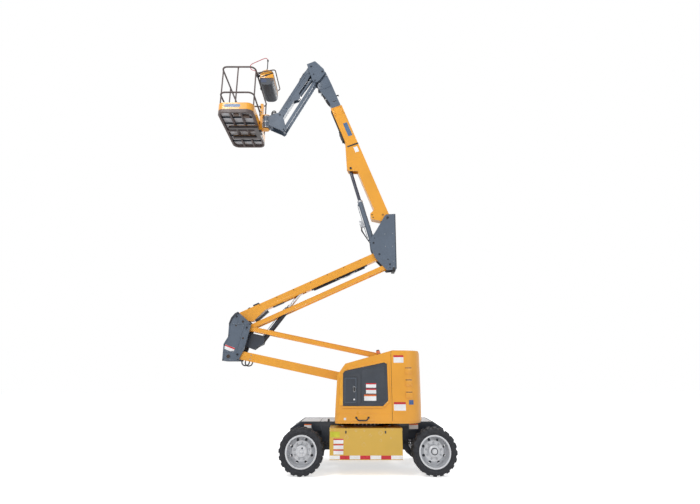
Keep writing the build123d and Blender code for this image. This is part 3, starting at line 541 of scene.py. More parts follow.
def make_finishes():
    tint = bpy.context.scene.lift_colours
    yellow, slate, navy = tuple(tint.yellow), tuple(tint.slate), tuple(tint.navy)
    FINISH.update({
        "yellow_paint": painted("yellow_paint", yellow, 0.34, 0.07, coat=0.35, wear=shade(yellow, 0.72)),
        "grey_paint": painted("slate_paint", slate, 0.42, 0.12, coat=0.15, wear=shade(slate, 1.7)),
        "dark_steel": painted("dark_paint", navy, 0.46, 0.2, wear=shade(navy, 3.0)),
        "side_box": diamonds("side_box_paint", tuple(tint.box_yellow)),
        "rim_silver": painted("rim_paint", tuple(tint.silver), 0.36, 0.07, metal=0.35,
                              wear=shade(tuple(tint.silver), 0.55)),
        "rail_steel": painted("rail_paint", tuple(tint.rail), 0.5, 0.3, wear=shade(tuple(tint.rail), 2.2)),
        "pale_deck": tread_plate("deck_plate", tuple(tint.deck)),
        "tyre_rubber": rubber("tyre_rubber", tuple(tint.rubber)),
        "hose_rubber": rubber("hose_rubber", shade(tuple(tint.rubber), 0.9)),
        "dark_plastic": plastic("dark_plastic", tuple(tint.plastic)),
        "black_plastic": plastic("black_plastic", (0.012, 0.012, 0.014), 0.5),
        "rod_chrome": bare_metal("rod_chrome", (0.62, 0.63, 0.65), 0.16),
        "bolt_steel": bare_metal("bolt_steel", (0.42, 0.43, 0.45), 0.34),
        "dark_bolt": bare_metal("dark_bolt", (0.05, 0.055, 0.065), 0.4),
        "amber_lens": lens("amber_lens", tuple(tint.amber)),
        "red_strap": plastic("red_strap", tuple(tint.strap), 0.7, 900),
        **{name: plastic(name, tone, 0.3, 300) for name, tone in BLANKS.items()},
        "navy_patch": plastic("navy_patch", (0.030, 0.048, 0.105), 0.4, 400),
        "brown_paint": painted("brown_paint", (0.125, 0.080, 0.060), 0.5, 0.2),
        # dark brown with rust spots, used for the painted shade in the middle knuckle's holes
        "hole_shade_rust": painted("hole_shade_rust", (0.060, 0.040, 0.030), 0.8, 0.4, wear=(0.16, 0.07, 0.03)),
        "valve_pale": painted("valve_pale", (0.42, 0.43, 0.45), 0.35, 0.1, metal=0.6),
        "navy_rod": painted("navy_rod", (0.022, 0.026, 0.052), 0.30, 0.2, coat=0.3),
        "open_mesh": punched_sheet("punched_sheet", (0.62, 0.62, 0.64)),
        "mount_paint": two_tone("mount_paint", yellow, (0.060, 0.048, 0.046), "Z", 6.566),
        "panel_paint": two_tone("panel_paint", tuple(tint.plastic), yellow, "X", 0.373),
        "deck_paint": two_tone("deck_paint", tuple(tint.deck), navy, "Y", 0.389, inside=True),
        "knuckle_paint": two_tone("knuckle_paint", slate, shade(navy, 1.3), "Y", 0.150),
    })


NODE_FINISH = {
    "side_boxes": "side_box", "side_box_lids": "side_box", "control_panel": "panel_paint",
    "main_rod": "navy_rod",
    "riser_barrel": "dark_steel", "platform_console": "dark_plastic", "platform_floor": "rail_steel",
    "platform_mount": "mount_paint", "deck_plates": "deck_paint", "mid_knuckle": "knuckle_paint",
}


class BOOMLIFT_OT_finishes(bpy.types.Operator):
    """Give every part of the machine its paint, rubber, plastic or bare metal"""
    bl_idname = "boomlift.finishes"
    bl_label = "Finishes"

    def execute(self, context):
        make_finishes()
        slots = {part["node"]: part["material_slot"] for part in frame["record"]["subparts"]}
        for name, node in frame["nodes"].items():
            finish = FINISH[NODE_FINISH.get(name, slots[name])]
            node.data.materials.clear()
            node.data.materials.append(finish)
            only(node)
            bpy.ops.object.shade_smooth_by_angle(angle=radians(30))
        return {"FINISHED"}


# ---- stage ----
EYE, TILT, LENS = (0.488, -8.233, 1.479), radians(106.15), 22.3     # place, angle up from straight down, mm
AIM = Vector((0, 0, 3.6))                                           # where the lamps point

def seen_by_eye(tree, *kinds):
    """1 on the rays that the camera sees directly or in one of the given ways, else 0."""
    path = tree.nodes.new("ShaderNodeLightPath")
    seen = path.outputs["Is Camera Ray"]
    for kind in kinds:
        seen = math_node(tree, "MAXIMUM", seen, path.outputs[f"Is {kind} Ray"])
    return seen


class BOOMLIFT_OT_stage(bpy.types.Operator):
    """Floor, backdrop, soft lights and the camera at standing height"""
    bl_idname = "boomlift.stage"
    bl_label = "Stage"

    def execute(self, context):
        deselect()
        bpy.ops.mesh.primitive_plane_add(size=80, location=(0, 0, -0.001))
        floor = bpy.context.object
        floor.name = "floor"
        material, tree, place = nodes_of("pale_floor")
        shader = tree.nodes["Principled BSDF"]
        paper = ramp(tree, noise(tree, place, 0.8, 2), [(0.3, (0.93, 0.93, 0.93)), (0.7, (0.96, 0.96, 0.96))])
        tree.links.new(paper, shader.inputs["Base Color"])
        shader.inputs["Roughness"].default_value = 0.9
        shader.inputs["Specular IOR Level"].default_value = 0.1
        # to the camera the floor glows up to the backdrop's white, and keeps the shadow
        shader.inputs["Emission Color"].default_value = (1, 1, 1, 1)
        seen = seen_by_eye(tree, "Glossy")
        tree.links.new(math_node(tree, "MULTIPLY", seen, 0.62), shader.inputs["Emission Strength"])
        floor.data.materials.append(material)

        world = bpy.data.worlds.new("soft_light")
        context.scene.world = world
        world.use_nodes = True
        links = world.node_tree
        back = links.nodes["Background"]
        back.inputs["Color"].default_value = (0.93, 0.95, 1.0, 1)
        back.inputs["Strength"].default_value = 0.40
        white = links.nodes.new("ShaderNodeBackground")
        white.inputs["Color"].default_value = (1, 1, 1, 1)
        white.inputs["Strength"].default_value = 1.0
        blend = links.nodes.new("ShaderNodeMixShader")
        links.links.new(seen_by_eye(links, "Glossy", "Transmission"), blend.inputs[0])
        links.links.new(back.outputs[0], blend.inputs[1])
        links.links.new(white.outputs[0], blend.inputs[2])
        links.links.new(blend.outputs[0], links.nodes["World Output"].inputs["Surface"])

        # name, place, size, strength in watts, aimed at the middle of the machine
        lamps = [("key", (-6, -9, 11), 5, 820), ("fill", (8, -8, 6), 7, 260), ("rim", (4, 9, 10), 6, 420)]
        for name, place, size, watts in lamps:
            bpy.ops.object.light_add(type="AREA", location=place)
            lamp = bpy.context.object
            lamp.name = name
            lamp.data.shape = "DISK"
            lamp.data.size = size
            lamp.data.energy = watts
            lamp.rotation_euler = (AIM - Vector(place)).to_track_quat("-Z", "Y").to_euler()

        bpy.ops.object.camera_add(location=EYE, rotation=(TILT, 0, 0))
        camera = bpy.context.object
        camera.data.lens = LENS
        camera.data.sensor_width = 36
        camera.data.clip_end = 200
        context.scene.camera = camera
        context.scene.view_settings.view_transform = "Standard"
        return {"FINISHED"}


# ---- wheels ----
WHEELS = ["wheel_left_near", "wheel_left_far", "wheel_right_near", "wheel_right_far"]
LUGS = 20
# tyre section: radius, distance outwards from the tyre's middle plane
CARCASS = [(0.2375, 0.088), (0.249, 0.102), (0.262, 0.112), (0.266, 0.1165), (0.272, 0.1135), (0.288, 0.1175),
           (0.292, 0.1205), (0.297, 0.1175), (0.318, 0.114), (0.336, 0.098), (0.343, 0.060)]


def on_wheels(piece, wheels, finish, slot, replaced=None):
    """Put a copy on each wheel of a piece made about the origin with its outer face towards -y."""
    base = piece.name
    for wheel in wheels:
        only(piece)
        bpy.ops.object.duplicate(linked=False)
        twin = bpy.context.object
        centre = pin(f"{wheel}_roll")
        twin.matrix_world = turned(centre, pi if centre.y > 0 else 0, "Z")
        twin.name = f"{base}_{wheel}"
        done(twin, FINISH[finish], wheel, slot)
        if replaced:
            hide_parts(wheel.replace("wheel", replaced))
    bpy.data.objects.remove(piece, do_unlink=True)


class BOOMLIFT_OT_tyres(bpy.types.Operator):
    """Solid tyres with a row of slanted lugs on each shoulder"""
    bl_idname = "boomlift.tyres"
    bl_label = "Tyres"

    def execute(self, context):
        profile = [(radius, -y) for radius, y in CARCASS] + [(radius, y) for radius, y in CARCASS[::-1]]
        carcass = lathe("tyre", profile, 80)
        sizes = bpy.context.scene.lift_sizes
        top, low = sizes.tyre, sizes.tyre - sizes.lug
        # a lug across the shoulder: distance outwards from the middle plane, radius
        outline = [(-0.012, low), (-0.016, top), (-0.084, top), (-0.108, top - 0.015), (-0.1175, top - 0.052),
                   (-0.104, top - 0.066), (-0.070, low)]
        lug = prism("lug", outline, 0.060, 0.0, 0.005, 1)
        # turn the outline's x to run along the axle, with the lug's slant
        moved(lug, Matrix.Rotation(radians(102), 4, "Z"))
        turn = 2 * pi / LUGS
        moves = [Matrix.Rotation(turn * step, 4, "Y") for step in range(LUGS)]
        moves += [Matrix.Rotation(turn * (step + 0.5), 4, "Y") @ Matrix.Rotation(pi, 4, "Z")
                  for step in range(LUGS)]
        lugs = copy_to(lug, moves)
        on_wheels(join([carcass, lugs], "tyre"), WHEELS, "tyre_rubber", "tyre_rubber", "tyre")
        return {"FINISHED"}


def hexagon(radius, y, tall):
    """Bolt head on the near side: a hexagon standing out of y towards -y by tall."""
    corners = [(radius * cos(pi * k / 3), radius * sin(pi * k / 3)) for k in range(6)]
    return prism("hexagon", corners, tall, y - tall / 2, min(0.002, 0.2 * tall), 1)


def bolt(radius, y):
    """Washer and bolt head on a near face."""
    washer = lathe("washer", [(0, y - 0.003), (radius * 1.25, y - 0.003), (radius * 1.4, y - 0.0015),
                              (radius * 1.4, y), (0, y)], 16)
    return join([washer, hexagon(radius, y - 0.003, radius * 0.75)])


class BOOMLIFT_OT_hubs(bpy.types.Operator):
    """Hub covers, wheel nuts, drain plugs, and dark plates of painted shade behind the rims' vents"""
    bl_idname = "boomlift.hubs"
    bl_label = "Hubs"

    def execute(self, context):
        web, face = 0.018, -0.042      # outer faces of the rim's disc and of the hub, outwards is -y
        cover = [(0, face - 0.024), (0.026, face - 0.024), (0.033, face - 0.018), (0.036, face - 0.006),
                 (0.070, face - 0.005), (0.080, face - 0.001), (0.080, face), (0, face)]
        on_wheels(lathe("drive_hub", cover, 48), WHEELS[:2], "rim_silver", "rim_silver")
        cap = [(0, face - 0.040), (0.022, face - 0.039), (0.036, face - 0.032), (0.041, face - 0.014),
               (0.041, face - 0.008), (0.066, face - 0.007), (0.074, face), (0, face)]
        on_wheels(lathe("steer_hub", cap, 48), WHEELS[2:], "rim_silver", "rim_silver")
        ring = [(0.043, face - 0.009), (0.052, face - 0.011), (0.055, face - 0.008), (0.043, face - 0.006)]
        on_wheels(lathe("steer_seal", ring, 40), WHEELS[2:], "dark_bolt", "dark_steel")
        nuts = copy_to(bolt(0.0125, web), [Matrix.Rotation(2 * pi * k / 9, 4, "Y")
                                           @ Matrix.Translation((0, 0, 0.121)) for k in range(9)])
        nuts.name = "wheel_nuts"
        on_wheels(nuts, WHEELS, "bolt_steel", "rim_silver")
        small = copy_to(bolt(0.006, face), [Matrix.Rotation(2 * pi * (k + 0.5) / 8, 4, "Y")
                                            @ Matrix.Translation((0, 0, 0.058)) for k in range(8)])
        small.name = "hub_bolts"
        on_wheels(small, WHEELS[:2], "bolt_steel", "rim_silver")
        # a dark plate behind the rim's vents on every wheel: painted shade, so that the vents show dark in place
        # of the backdrop
        shade_plate = lathe("vent_shade_plate", [(0.135, 0.046), (0.135, 0.040), (0.186, 0.040), (0.188, 0.043),
                                     (0.186, 0.046)], 48)
        on_wheels(shade_plate, WHEELS, "dark_steel", "dark_steel")
        plug = moved(lathe("drain_plug", [(0, face - 0.009), (0.011, face - 0.009), (0.013, face - 0.007),
                                          (0.013, face), (0, face)], 20),
                     Matrix.Translation((0.012, 0, 0.046)))
        plug.name = "drain_plug"
        on_wheels(plug, WHEELS[:2], "dark_bolt", "dark_steel")
        return {"FINISHED"}


# ---- blank plates ----
BAND = 0.26                     # share of a plate's height that its coloured band takes


def plate(name, centre, size, y, finish, body, slot="yellow_paint", angle=0.0):
    """A blank plate on an upright face: centre and size in x and z, y of the face that it lies on."""
    thick = bpy.context.scene.lift_sizes.plate
    wide, tall = size
    piece = box(name, (-wide / 2, -thick, -tall / 2), (wide / 2, 0, tall / 2), 0.0005, 1)
    stand(piece, (centre[0], y, centre[1]), angle)
    return done(piece, FINISH[finish], body, slot)


def headed_plate(name, centre, size, y, head, body, slot="yellow_paint"):
    """A blank white plate with a coloured band along its top."""
    plate(name, centre, size, y, "blank_white", body, slot)
    wide, tall = size
    top = (centre[0], centre[1] + tall * (1 - BAND) / 2)
    thick = bpy.context.scene.lift_sizes.plate
    plate(name + "_band", top, (wide, tall * BAND), y - thick, head, body, slot)


def skin(name, side, span_x, span_z, span_y, edge):
    """A block on an upright face of one side: its extent in x and z, and in y measured outwards."""
    near, far = sorted(side * y for y in span_y)
    return box(name, (span_x[0], near, span_z[0]), (span_x[1], far, span_z[1]), edge)


# ---- chassis ----
class BOOMLIFT_OT_side_boxes(bpy.types.Operator):
    """Side box latches, red and white strip, lime patch and blank plates"""
    bl_idname = "boomlift.side_boxes"
    bl_label = "Side boxes"

    def execute(self, context):
        low, high = corner("side_boxes")
        face = low.y
        # red and white blocks along the lower edge, white first
        ends = [low.x + 0.002, 0.331, 0.483, 0.646, 0.805, 0.973, 1.128, high.x - 0.002]
        for k, (start, stop) in enumerate(zip(ends, ends[1:])):
            material = "blank_red" if k % 2 else "blank_white"
            plate(f"strip_{k}", ((start + stop) / 2, 0.286), (stop - start, 0.054), face, material, "chassis")
        plate("lime_patch", (0.252, 0.618), (0.150, 0.082), face, "blank_lime", "chassis")
        for k in range(3):
            headed_plate(f"box_plate_{k}", (0.307, 0.520 - 0.078 * k), (0.155, 0.072), face, "blank_red",
                         "chassis")
        # latches: a clasp over the lid's top edge and a hook on the box below it
        for side, name in SIDES:
            clasps = []
            for x in (0.423, 1.048):
                clasps.append(skin("clasp", side, (x - 0.014, x + 0.014), (0.7065, 0.7160), (0.8425, 0.868),
                                   0.002))
                clasps.append(skin("hook", side, (x - 0.011, x + 0.011), (0.632, 0.6715),
                                   (-face - 0.004, 0.8746), 0.001))
            fit(clasps, f"box_latches_{name}", "dark_bolt", "chassis")
        return {"FINISHED"}


class BOOMLIFT_OT_deck(bpy.types.Operator):
    """Edge strips, bolts, stops and blank plates of the deck, and skirts and hoses of the frame"""
    bl_idname = "boomlift.deck"
    bl_label = "Deck"

    def execute(self, context):
        low, high = corner("deck_plates")
        flat = high.z
        inner = (0.320, 1.220)         # where the ring's clearing starts, left and right
        brow = (-0.350, 1.890)         # where the deck starts to slope
        drop = 0.110                   # how far it slopes down by its end
        strips = []
        for k, (end, knee, start) in enumerate(((low.x, brow[0], inner[0]), (high.x, brow[1], inner[1]))):
            slope = Member((knee, 0, flat), (end, 0, flat - drop))
            for y in (low.y + 0.006, high.y - 0.006):
                strips.append(box("strip", (min(knee, start), y - 0.006, flat),
                                  (max(knee, start), y + 0.006, flat + 0.004), 0.0015))
                sheet = box("strip", (0, y - 0.006, 0), (slope.long, y + 0.006, 0.004), 0.0015)
                if k == 0:
                    moved(sheet, Matrix.Rotation(pi, 4, "X"))
                strips.append(slope.stand(sheet))
            strips.append(box("strip", (knee - 0.006, low.y, flat - 0.001),
                              (knee + 0.006, high.y, flat + 0.004), 0.0015))
            strips.append(box("strip", (start - 0.006 if k else start, low.y, flat - 0.06),
                              (start if k else start + 0.006, high.y, flat + 0.004), 0.0015))
            middle = (knee + start) / 2
            strips.append(box("strip", (middle - 0.004, low.y, flat), (middle + 0.004, high.y, flat + 0.003),
                              0.0012))
        fit(strips, "deck_edges", "black_plastic", "chassis", "dark_steel")
        studs = moved(lathe("stud", [(0, -0.006), (0.007, -0.006), (0.011, -0.003), (0.012, 0), (0, 0)], 12),
                      Matrix.Rotation(-pi / 2, 4, "X"))
        places = [(x, y, flat) for x in (-0.29, -0.02, 0.06, 0.27, 1.27, 1.50, 1.60, 1.83)
                  for y in (-0.35, 0.35)]
        fit([copy_to(studs, places)], "deck_bolts", "bolt_steel", "chassis")
        # rubber stops beside the slewing ring
        stop = moved(lathe("stop", [(0, 0), (0.020, 0), (0.018, 0.034), (0.011, 0.040), (0, 0.040)], 20),
                     Matrix.Rotation(pi / 2, 4, "X"))
        fit([copy_to(stop, [(0.125, -0.33, flat), (1.42, -0.33, flat)])], "deck_stops", "black_plastic",
            "chassis", "dark_steel")
        face = corner("chassis_frame")[0].y
        plate("frame_plate_left", (0.058, 0.650), (0.055, 0.052), corner("deck_plates")[0].y, "blank_white",
              "chassis", "dark_steel")
        headed_plate("frame_plate_right", (1.560, 0.690), (0.150, 0.085), corner("deck_plates")[0].y,
                     "blank_orange", "chassis", "dark_steel")
        headed_plate("end_plate_left", (-0.225, 0.695), (0.120, 0.060), corner("deck_plates")[0].y,
                     "blank_orange", "chassis", "dark_steel")
        # dark skirts that close the frame beside the boxes
        skirts = [box("skirt", (x0, y - 0.0025, 0.330), (x1, y + 0.0025, 0.690), 0.001)
                  for x0, x1 in ((0.010, 0.300), (1.180, 1.465)) for y in (face - 0.0025, -face + 0.0025)]
        fit(skirts, "frame_skirts", "dark_steel", "chassis")
        # hydraulic lines along the frame's side, between the boxes and the wheels
        runs = []
        for k, z in enumerate((0.400, 0.425, 0.450)):
            line = [(0.150, face - 0.006, z), (0.02, face - 0.008, z - 0.01), (-0.10, face + 0.02, z - 0.03),
                    (-0.22, face + 0.05, z - 0.05 - 0.01 * k)]
            runs.append(hose("line", line, 0.008))
        twin = [hose("line", [(1.38, face - 0.006, z), (1.52, face - 0.004, z - 0.01),
                              (1.64, face + 0.03, z - 0.04), (1.74, face + 0.07, 0.452)], 0.008)
                for z in (0.43, 0.46)]
        fit(runs + twin, "axle_hoses", "hose_rubber", "chassis")
        bars = []
        for y in (-0.22, 0.22):
            bars.append(hose("tie", [(1.82, y - 0.27 * (1 if y < 0 else -1), 0.330), (1.86, y, 0.335),
                                     (1.86, 0, 0.335)], 0.013))
        fit(bars, "track_rod", "dark_bolt", "chassis")
        return {"FINISHED"}


class BOOMLIFT_OT_ring(bpy.types.Operator):
    """Bolts round the slewing ring"""
    bl_idname = "boomlift.ring"
    bl_label = "Slewing ring"

    def execute(self, context):
        low, high = corner("slew_ring")
        centre = (low + high) / 2
        studs = moved(bolt(0.009, 0), Matrix.Translation((0, -0.0005, 0)))
        radius = high.x - centre.x
        moves = [turned((centre.x, 0, low.z + 0.022), 2 * pi * k / 36, "Z")
                 @ Matrix.Translation((0, -radius, 0)) for k in range(36)]
        fit([copy_to(studs, moves)], "ring_bolts", "bolt_steel", "chassis")
        return {"FINISHED"}


# ---- turret ----
class BOOMLIFT_OT_covers(bpy.types.Operator):
    """Window panel, grips, louvres, seams, vents and blank plates of the covers"""
    bl_idname = "boomlift.covers"
    bl_label = "Covers"

    def execute(self, context):
        face = corner("hood_near")[0].y
        # dark window panel and its bright frame
        window = [(0.374, 1.034), (0.374, 1.550), (0.400, 1.586), (0.452, 1.600), (1.050, 1.722),
                  (1.100, 1.700), (1.108, 1.118), (1.020, 1.034)]
        dark = prism("window_panel", window, 0.0016, face - 0.0008, 0.0006, 1)
        done(dark, FINISH["dark_plastic"], "hood_near", "dark_plastic")
        lip = []
        # the first edge has no bar, because the control panel stands there
        for (x0, z0), (x1, z1) in zip(window[1:], window[2:] + window[:1]):
            run = Member((x0, 0, z0), (x1, 0, z1))
            bar = box("bar", (-0.010, face - 0.013, -0.004), (run.long + 0.010, face, 0.026), 0.009, 3)
            lip.append(run.stand(bar))
        fit(lip, "window_frame", "yellow_paint", "hood_near")
        # sunk step and blank plates right of the door
        step = prism("control_step", [(0.672, 1.096), (0.672, 1.560), (0.720, 1.600), (1.020, 1.662),
                                      (1.046, 1.640), (1.050, 1.150), (0.985, 1.096)], 0.006, face - 0.0045,
                     0.003, 2)
        done(step, FINISH["dark_plastic"], "hood_near", "dark_plastic")
        front = face - 0.0075
        headed_plate("control_plate_a", (0.830, 1.356), (0.165, 0.070), front, "blank_red", "hood_near")
        headed_plate("control_plate_b", (0.830, 1.268), (0.165, 0.075), front, "blank_red", "hood_near")
        headed_plate("control_plate_c", (0.815, 1.168), (0.195, 0.095), front, "blank_orange", "hood_near")
        plate("lamp_window", (0.700, 1.655), (0.020, 0.020), face - 0.0016, "blank_white", "hood_near")
        # grip: raised rim and hook, and the crease near the lower edge
        for side, name in SIDES:
            rim = prism("grip_rim", [(0.508, 0.808), (0.538, 0.880), (0.574, 0.905), (0.820, 0.905),
                                     (0.856, 0.880), (0.886, 0.808)], 0.004, side * (-face) + side * 0.002,
                        0.003, 2)
            done(rim, FINISH["yellow_paint"], f"hood_{name}", "yellow_paint")
            # the hook's line: x, distance outwards from the face, z
            bow = [(0.590, 0.004, 0.862), (0.610, 0.0110, 0.830), (0.630, 0.0130, 0.822),
                   (0.690, 0.0130, 0.822), (0.745, 0.0130, 0.822), (0.762, 0.0110, 0.832),
                   (0.785, 0.004, 0.862)]
            hook = [hose("hook", [(x, side * (-face + out), z) for x, out, z in bow], 0.0105)]
            for x in (0.590, 0.785):
                hook.append(skin("hook_foot", side, (x - 0.016, x + 0.016), (0.850, 0.880),
                                 (-face, -face + 0.007), 0.002))
            fit(hook, f"grip_{name}", "black_plastic", f"hood_{name}")
            for crease, span, body in (("crease", (0.262, 1.158), f"hood_{name}"),
                                       ("tail_crease", (1.172, 1.372), "turret")):
                strip = skin(crease, side, span, (0.924, 0.931), (-face, -face + 0.0025), 0.001)
                done(strip, FINISH["yellow_paint"], body, "yellow_paint")
        plate("grip_plate", (0.408, 0.845), (0.036, 0.034), face, "blank_white", "hood_near")
        # tail: blank plates and louvres round the corner
        headed_plate("tail_plate_top", (1.290, 1.775), (0.165, 0.120), face, "blank_red", "turret")
        headed_plate("tail_plate_low", (1.290, 1.035), (0.190, 0.130), face, "blank_red", "turret")
        centre = Vector((1.375, -0.550, 0))
        blades = []
        slots = []
        for low in (1.160, 1.350, 1.540):
            scoop = prism("blade", [(-0.060, low), (-0.060, low + 0.104), (0.060, low + 0.104), (0.060, low)],
                          0.004, -0.3010, 0.0018, 2)
            blades += [scoop, box("blade", (-0.060, -0.3075, low - 0.004), (0.060, -0.2985, low + 0.008),
                                  0.002)]
            # a dark bar along the top of each louvre: painted shade, the shadow under the louvre's overhang
            slots.append(box("slot", (-0.056, -0.3036, low + 0.086), (0.056, -0.2990, low + 0.098), 0.001))
        for blade in blades + slots:
            moved(blade, turned(centre, radians(14), "Z"))
        for name, parts, finish, slot in (("louvres", blades, "yellow_paint", "yellow_paint"),
                                          ("louvre_shade_bars", slots, "black_plastic", "dark_plastic")):
            fit(parts, name, finish, "turret", slot, pair=True)
        seam = [box("seam", (1.1642, y - 0.004, 0.815), (1.1682, y + 0.004, 1.895), 0.001)
                for y in (-0.842, 0.842)]
        fit(seam, "cover_seam", "black_plastic", "turret")
        blue = box("tail_blue", (-0.040, -0.3014, 1.060), (0.040, -0.2985, 1.130), 0.0008, 1)
        blue.matrix_world = turned(centre, radians(20), "Z")
        done(blue, FINISH["blank_blue"], "turret", "yellow_paint")
        # vent slots on the tail's back face
        back = corner("tail_cover")[1].x
        slots = [box("slot", (back - 0.020, y - 0.10, z), (back - 0.0105, y + 0.10, z + 0.012), 0.003)
                 for y in (-0.38, 0.38) for z in (1.30, 1.33, 1.36, 1.39, 1.42)]
        fit(slots, "tail_vents", "black_plastic", "turret")
        return {"FINISHED"}


class BOOMLIFT_OT_door(bpy.types.Operator):
    """Latch, blank plate and rim of the ground control door"""
    bl_idname = "boomlift.door"
    bl_label = "Control door"

    def execute(self, context):
        low, high = corner("control_door")
        face = low.y
        ring = [(0, face - 0.003), (0.030, face - 0.003), (0.033, face), (0, face)]
        rosette = moved(lathe("rosette", ring, 28), Matrix.Translation((high.x - 0.048, 0, 1.300)))
        loop = hose("loop", [(high.x - 0.066, face, 1.345), (high.x - 0.030, face, 1.345),
                             (high.x - 0.030, face, 1.255), (high.x - 0.066, face, 1.255),
                             (high.x - 0.066, face, 1.345)], 0.0035)
        done(rosette, FINISH["black_plastic"], "control_door", "dark_plastic")
        fit([loop], "door_latch", "bolt_steel", "control_door", "dark_plastic")
        plate("key_plate", (high.x - 0.050, 1.140), (0.024, 0.024), face, "blank_white", "control_door",
              "dark_plastic")
        rim = [box("rim", (low.x + 0.018, face - 0.002, z), (high.x - 0.018, face, z + 0.006), 0.001)
               for z in (low.z + 0.018, high.z - 0.024)]
        rim += [box("rim", (x, face - 0.002, low.z + 0.018), (x + 0.006, face, high.z - 0.018), 0.001)
                for x in (low.x + 0.018, high.x - 0.024)]
        fit(rim, "door_rim", "grey_paint", "control_door")
        return {"FINISHED"}


class BOOMLIFT_OT_beacon(bpy.types.Operator):
    """Warning beacon: foot, ribbed lens and cap, square to the sloping roof"""
    bl_idname = "boomlift.beacon"
    bl_label = "Beacon"

    def execute(self, context):
        foot = Vector((1.005, -0.295, 1.8645))
        tilt = radians(15.4)
        parts = [("beacon_foot", [(0, 0), (0.0415, 0), (0.0415, 0.010), (0.036, 0.016), (0.036, 0.024),
                                  (0, 0.024)], "black_plastic", "dark_plastic"),
                 ("beacon_lens", [(0, 0.024), (0.0365, 0.024), (0.0355, 0.034), (0.0345, 0.070),
                                  (0.031, 0.078), (0, 0.078)], "amber_lens", "amber_lens"),
                 ("beacon_cap", [(0, 0.078), (0.032, 0.078), (0.032, 0.083), (0.026, 0.090), (0.014, 0.0935),
                                 (0, 0.094)], "black_plastic", "dark_plastic")]
        for name, profile, material, slot in parts:
            piece = moved(lathe(name, profile, 40), turned(foot, -tilt, "Y")
                          @ Matrix.Rotation(pi / 2, 4, "X"))
            done(piece, FINISH[material], "hood_near", slot)
        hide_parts("beacon")
        return {"FINISHED"}


# ---- folding mast ----
LOWER_ARM = Member(pin("mid_knuckle_level"), pin("riser_lift"))
LOWER_LINK = Member(pin("mid_knuckle_level") + Vector((0.140, 0, 0.482)), pin("lower_link_turn"))
UPPER_BOOM = Member(pin("upper_boom_lift"), pin("upper_knuckle_level"))
UPPER_LINK = Member(pin("upper_link_turn"), pin("upper_knuckle_level") + Vector((0.202, 0, -0.202)))
KNUCKLE = pin("mid_knuckle_level")


PIN_PROUD = 0.006


def pin_head(radius, y, proud):
    """End of a pin with its keeper bolt, standing out of a near face."""
    head = lathe("pin_head", [(0, y - proud), (radius * 0.88, y - proud), (radius, y - proud * 0.6),
                              (radius, y), (0, y)], 32)
    return join([head, bolt(radius * 0.30, y - proud)])


def pins(name, places, body):
    """Pin ends on both sides: places are (x, z, radius, y of the near face)."""
    heads = []
    for x, z, radius, y in places:
        heads.append(moved(pin_head(radius, y, PIN_PROUD), Matrix.Translation((x, 0, z))))
    fit(heads, name, "dark_bolt", body, pair=True)


def bolts(name, places, radius, body, finish="bolt_steel"):
    """Bolt heads on the near faces and the far ones: places are (x, z, y)."""
    heads = []
    for x, z, y in places:
        heads.append(moved(bolt(radius, y), Matrix.Translation((x, 0, z))))
    fit(heads, name, finish, body, pair=True)


def disc(name, x, z, radius, y, proud, inner=0.0):
    """A round boss, or a ring with a bore, on a near face."""
    edge = min(0.002, proud / 2)
    profile = [(inner, y - proud), (radius - edge, y - proud), (radius, y - proud + edge), (radius, y),
               (inner, y)]
    piece = moved(lathe(name, profile, 36), Matrix.Translation((x, 0, z)))
    return piece


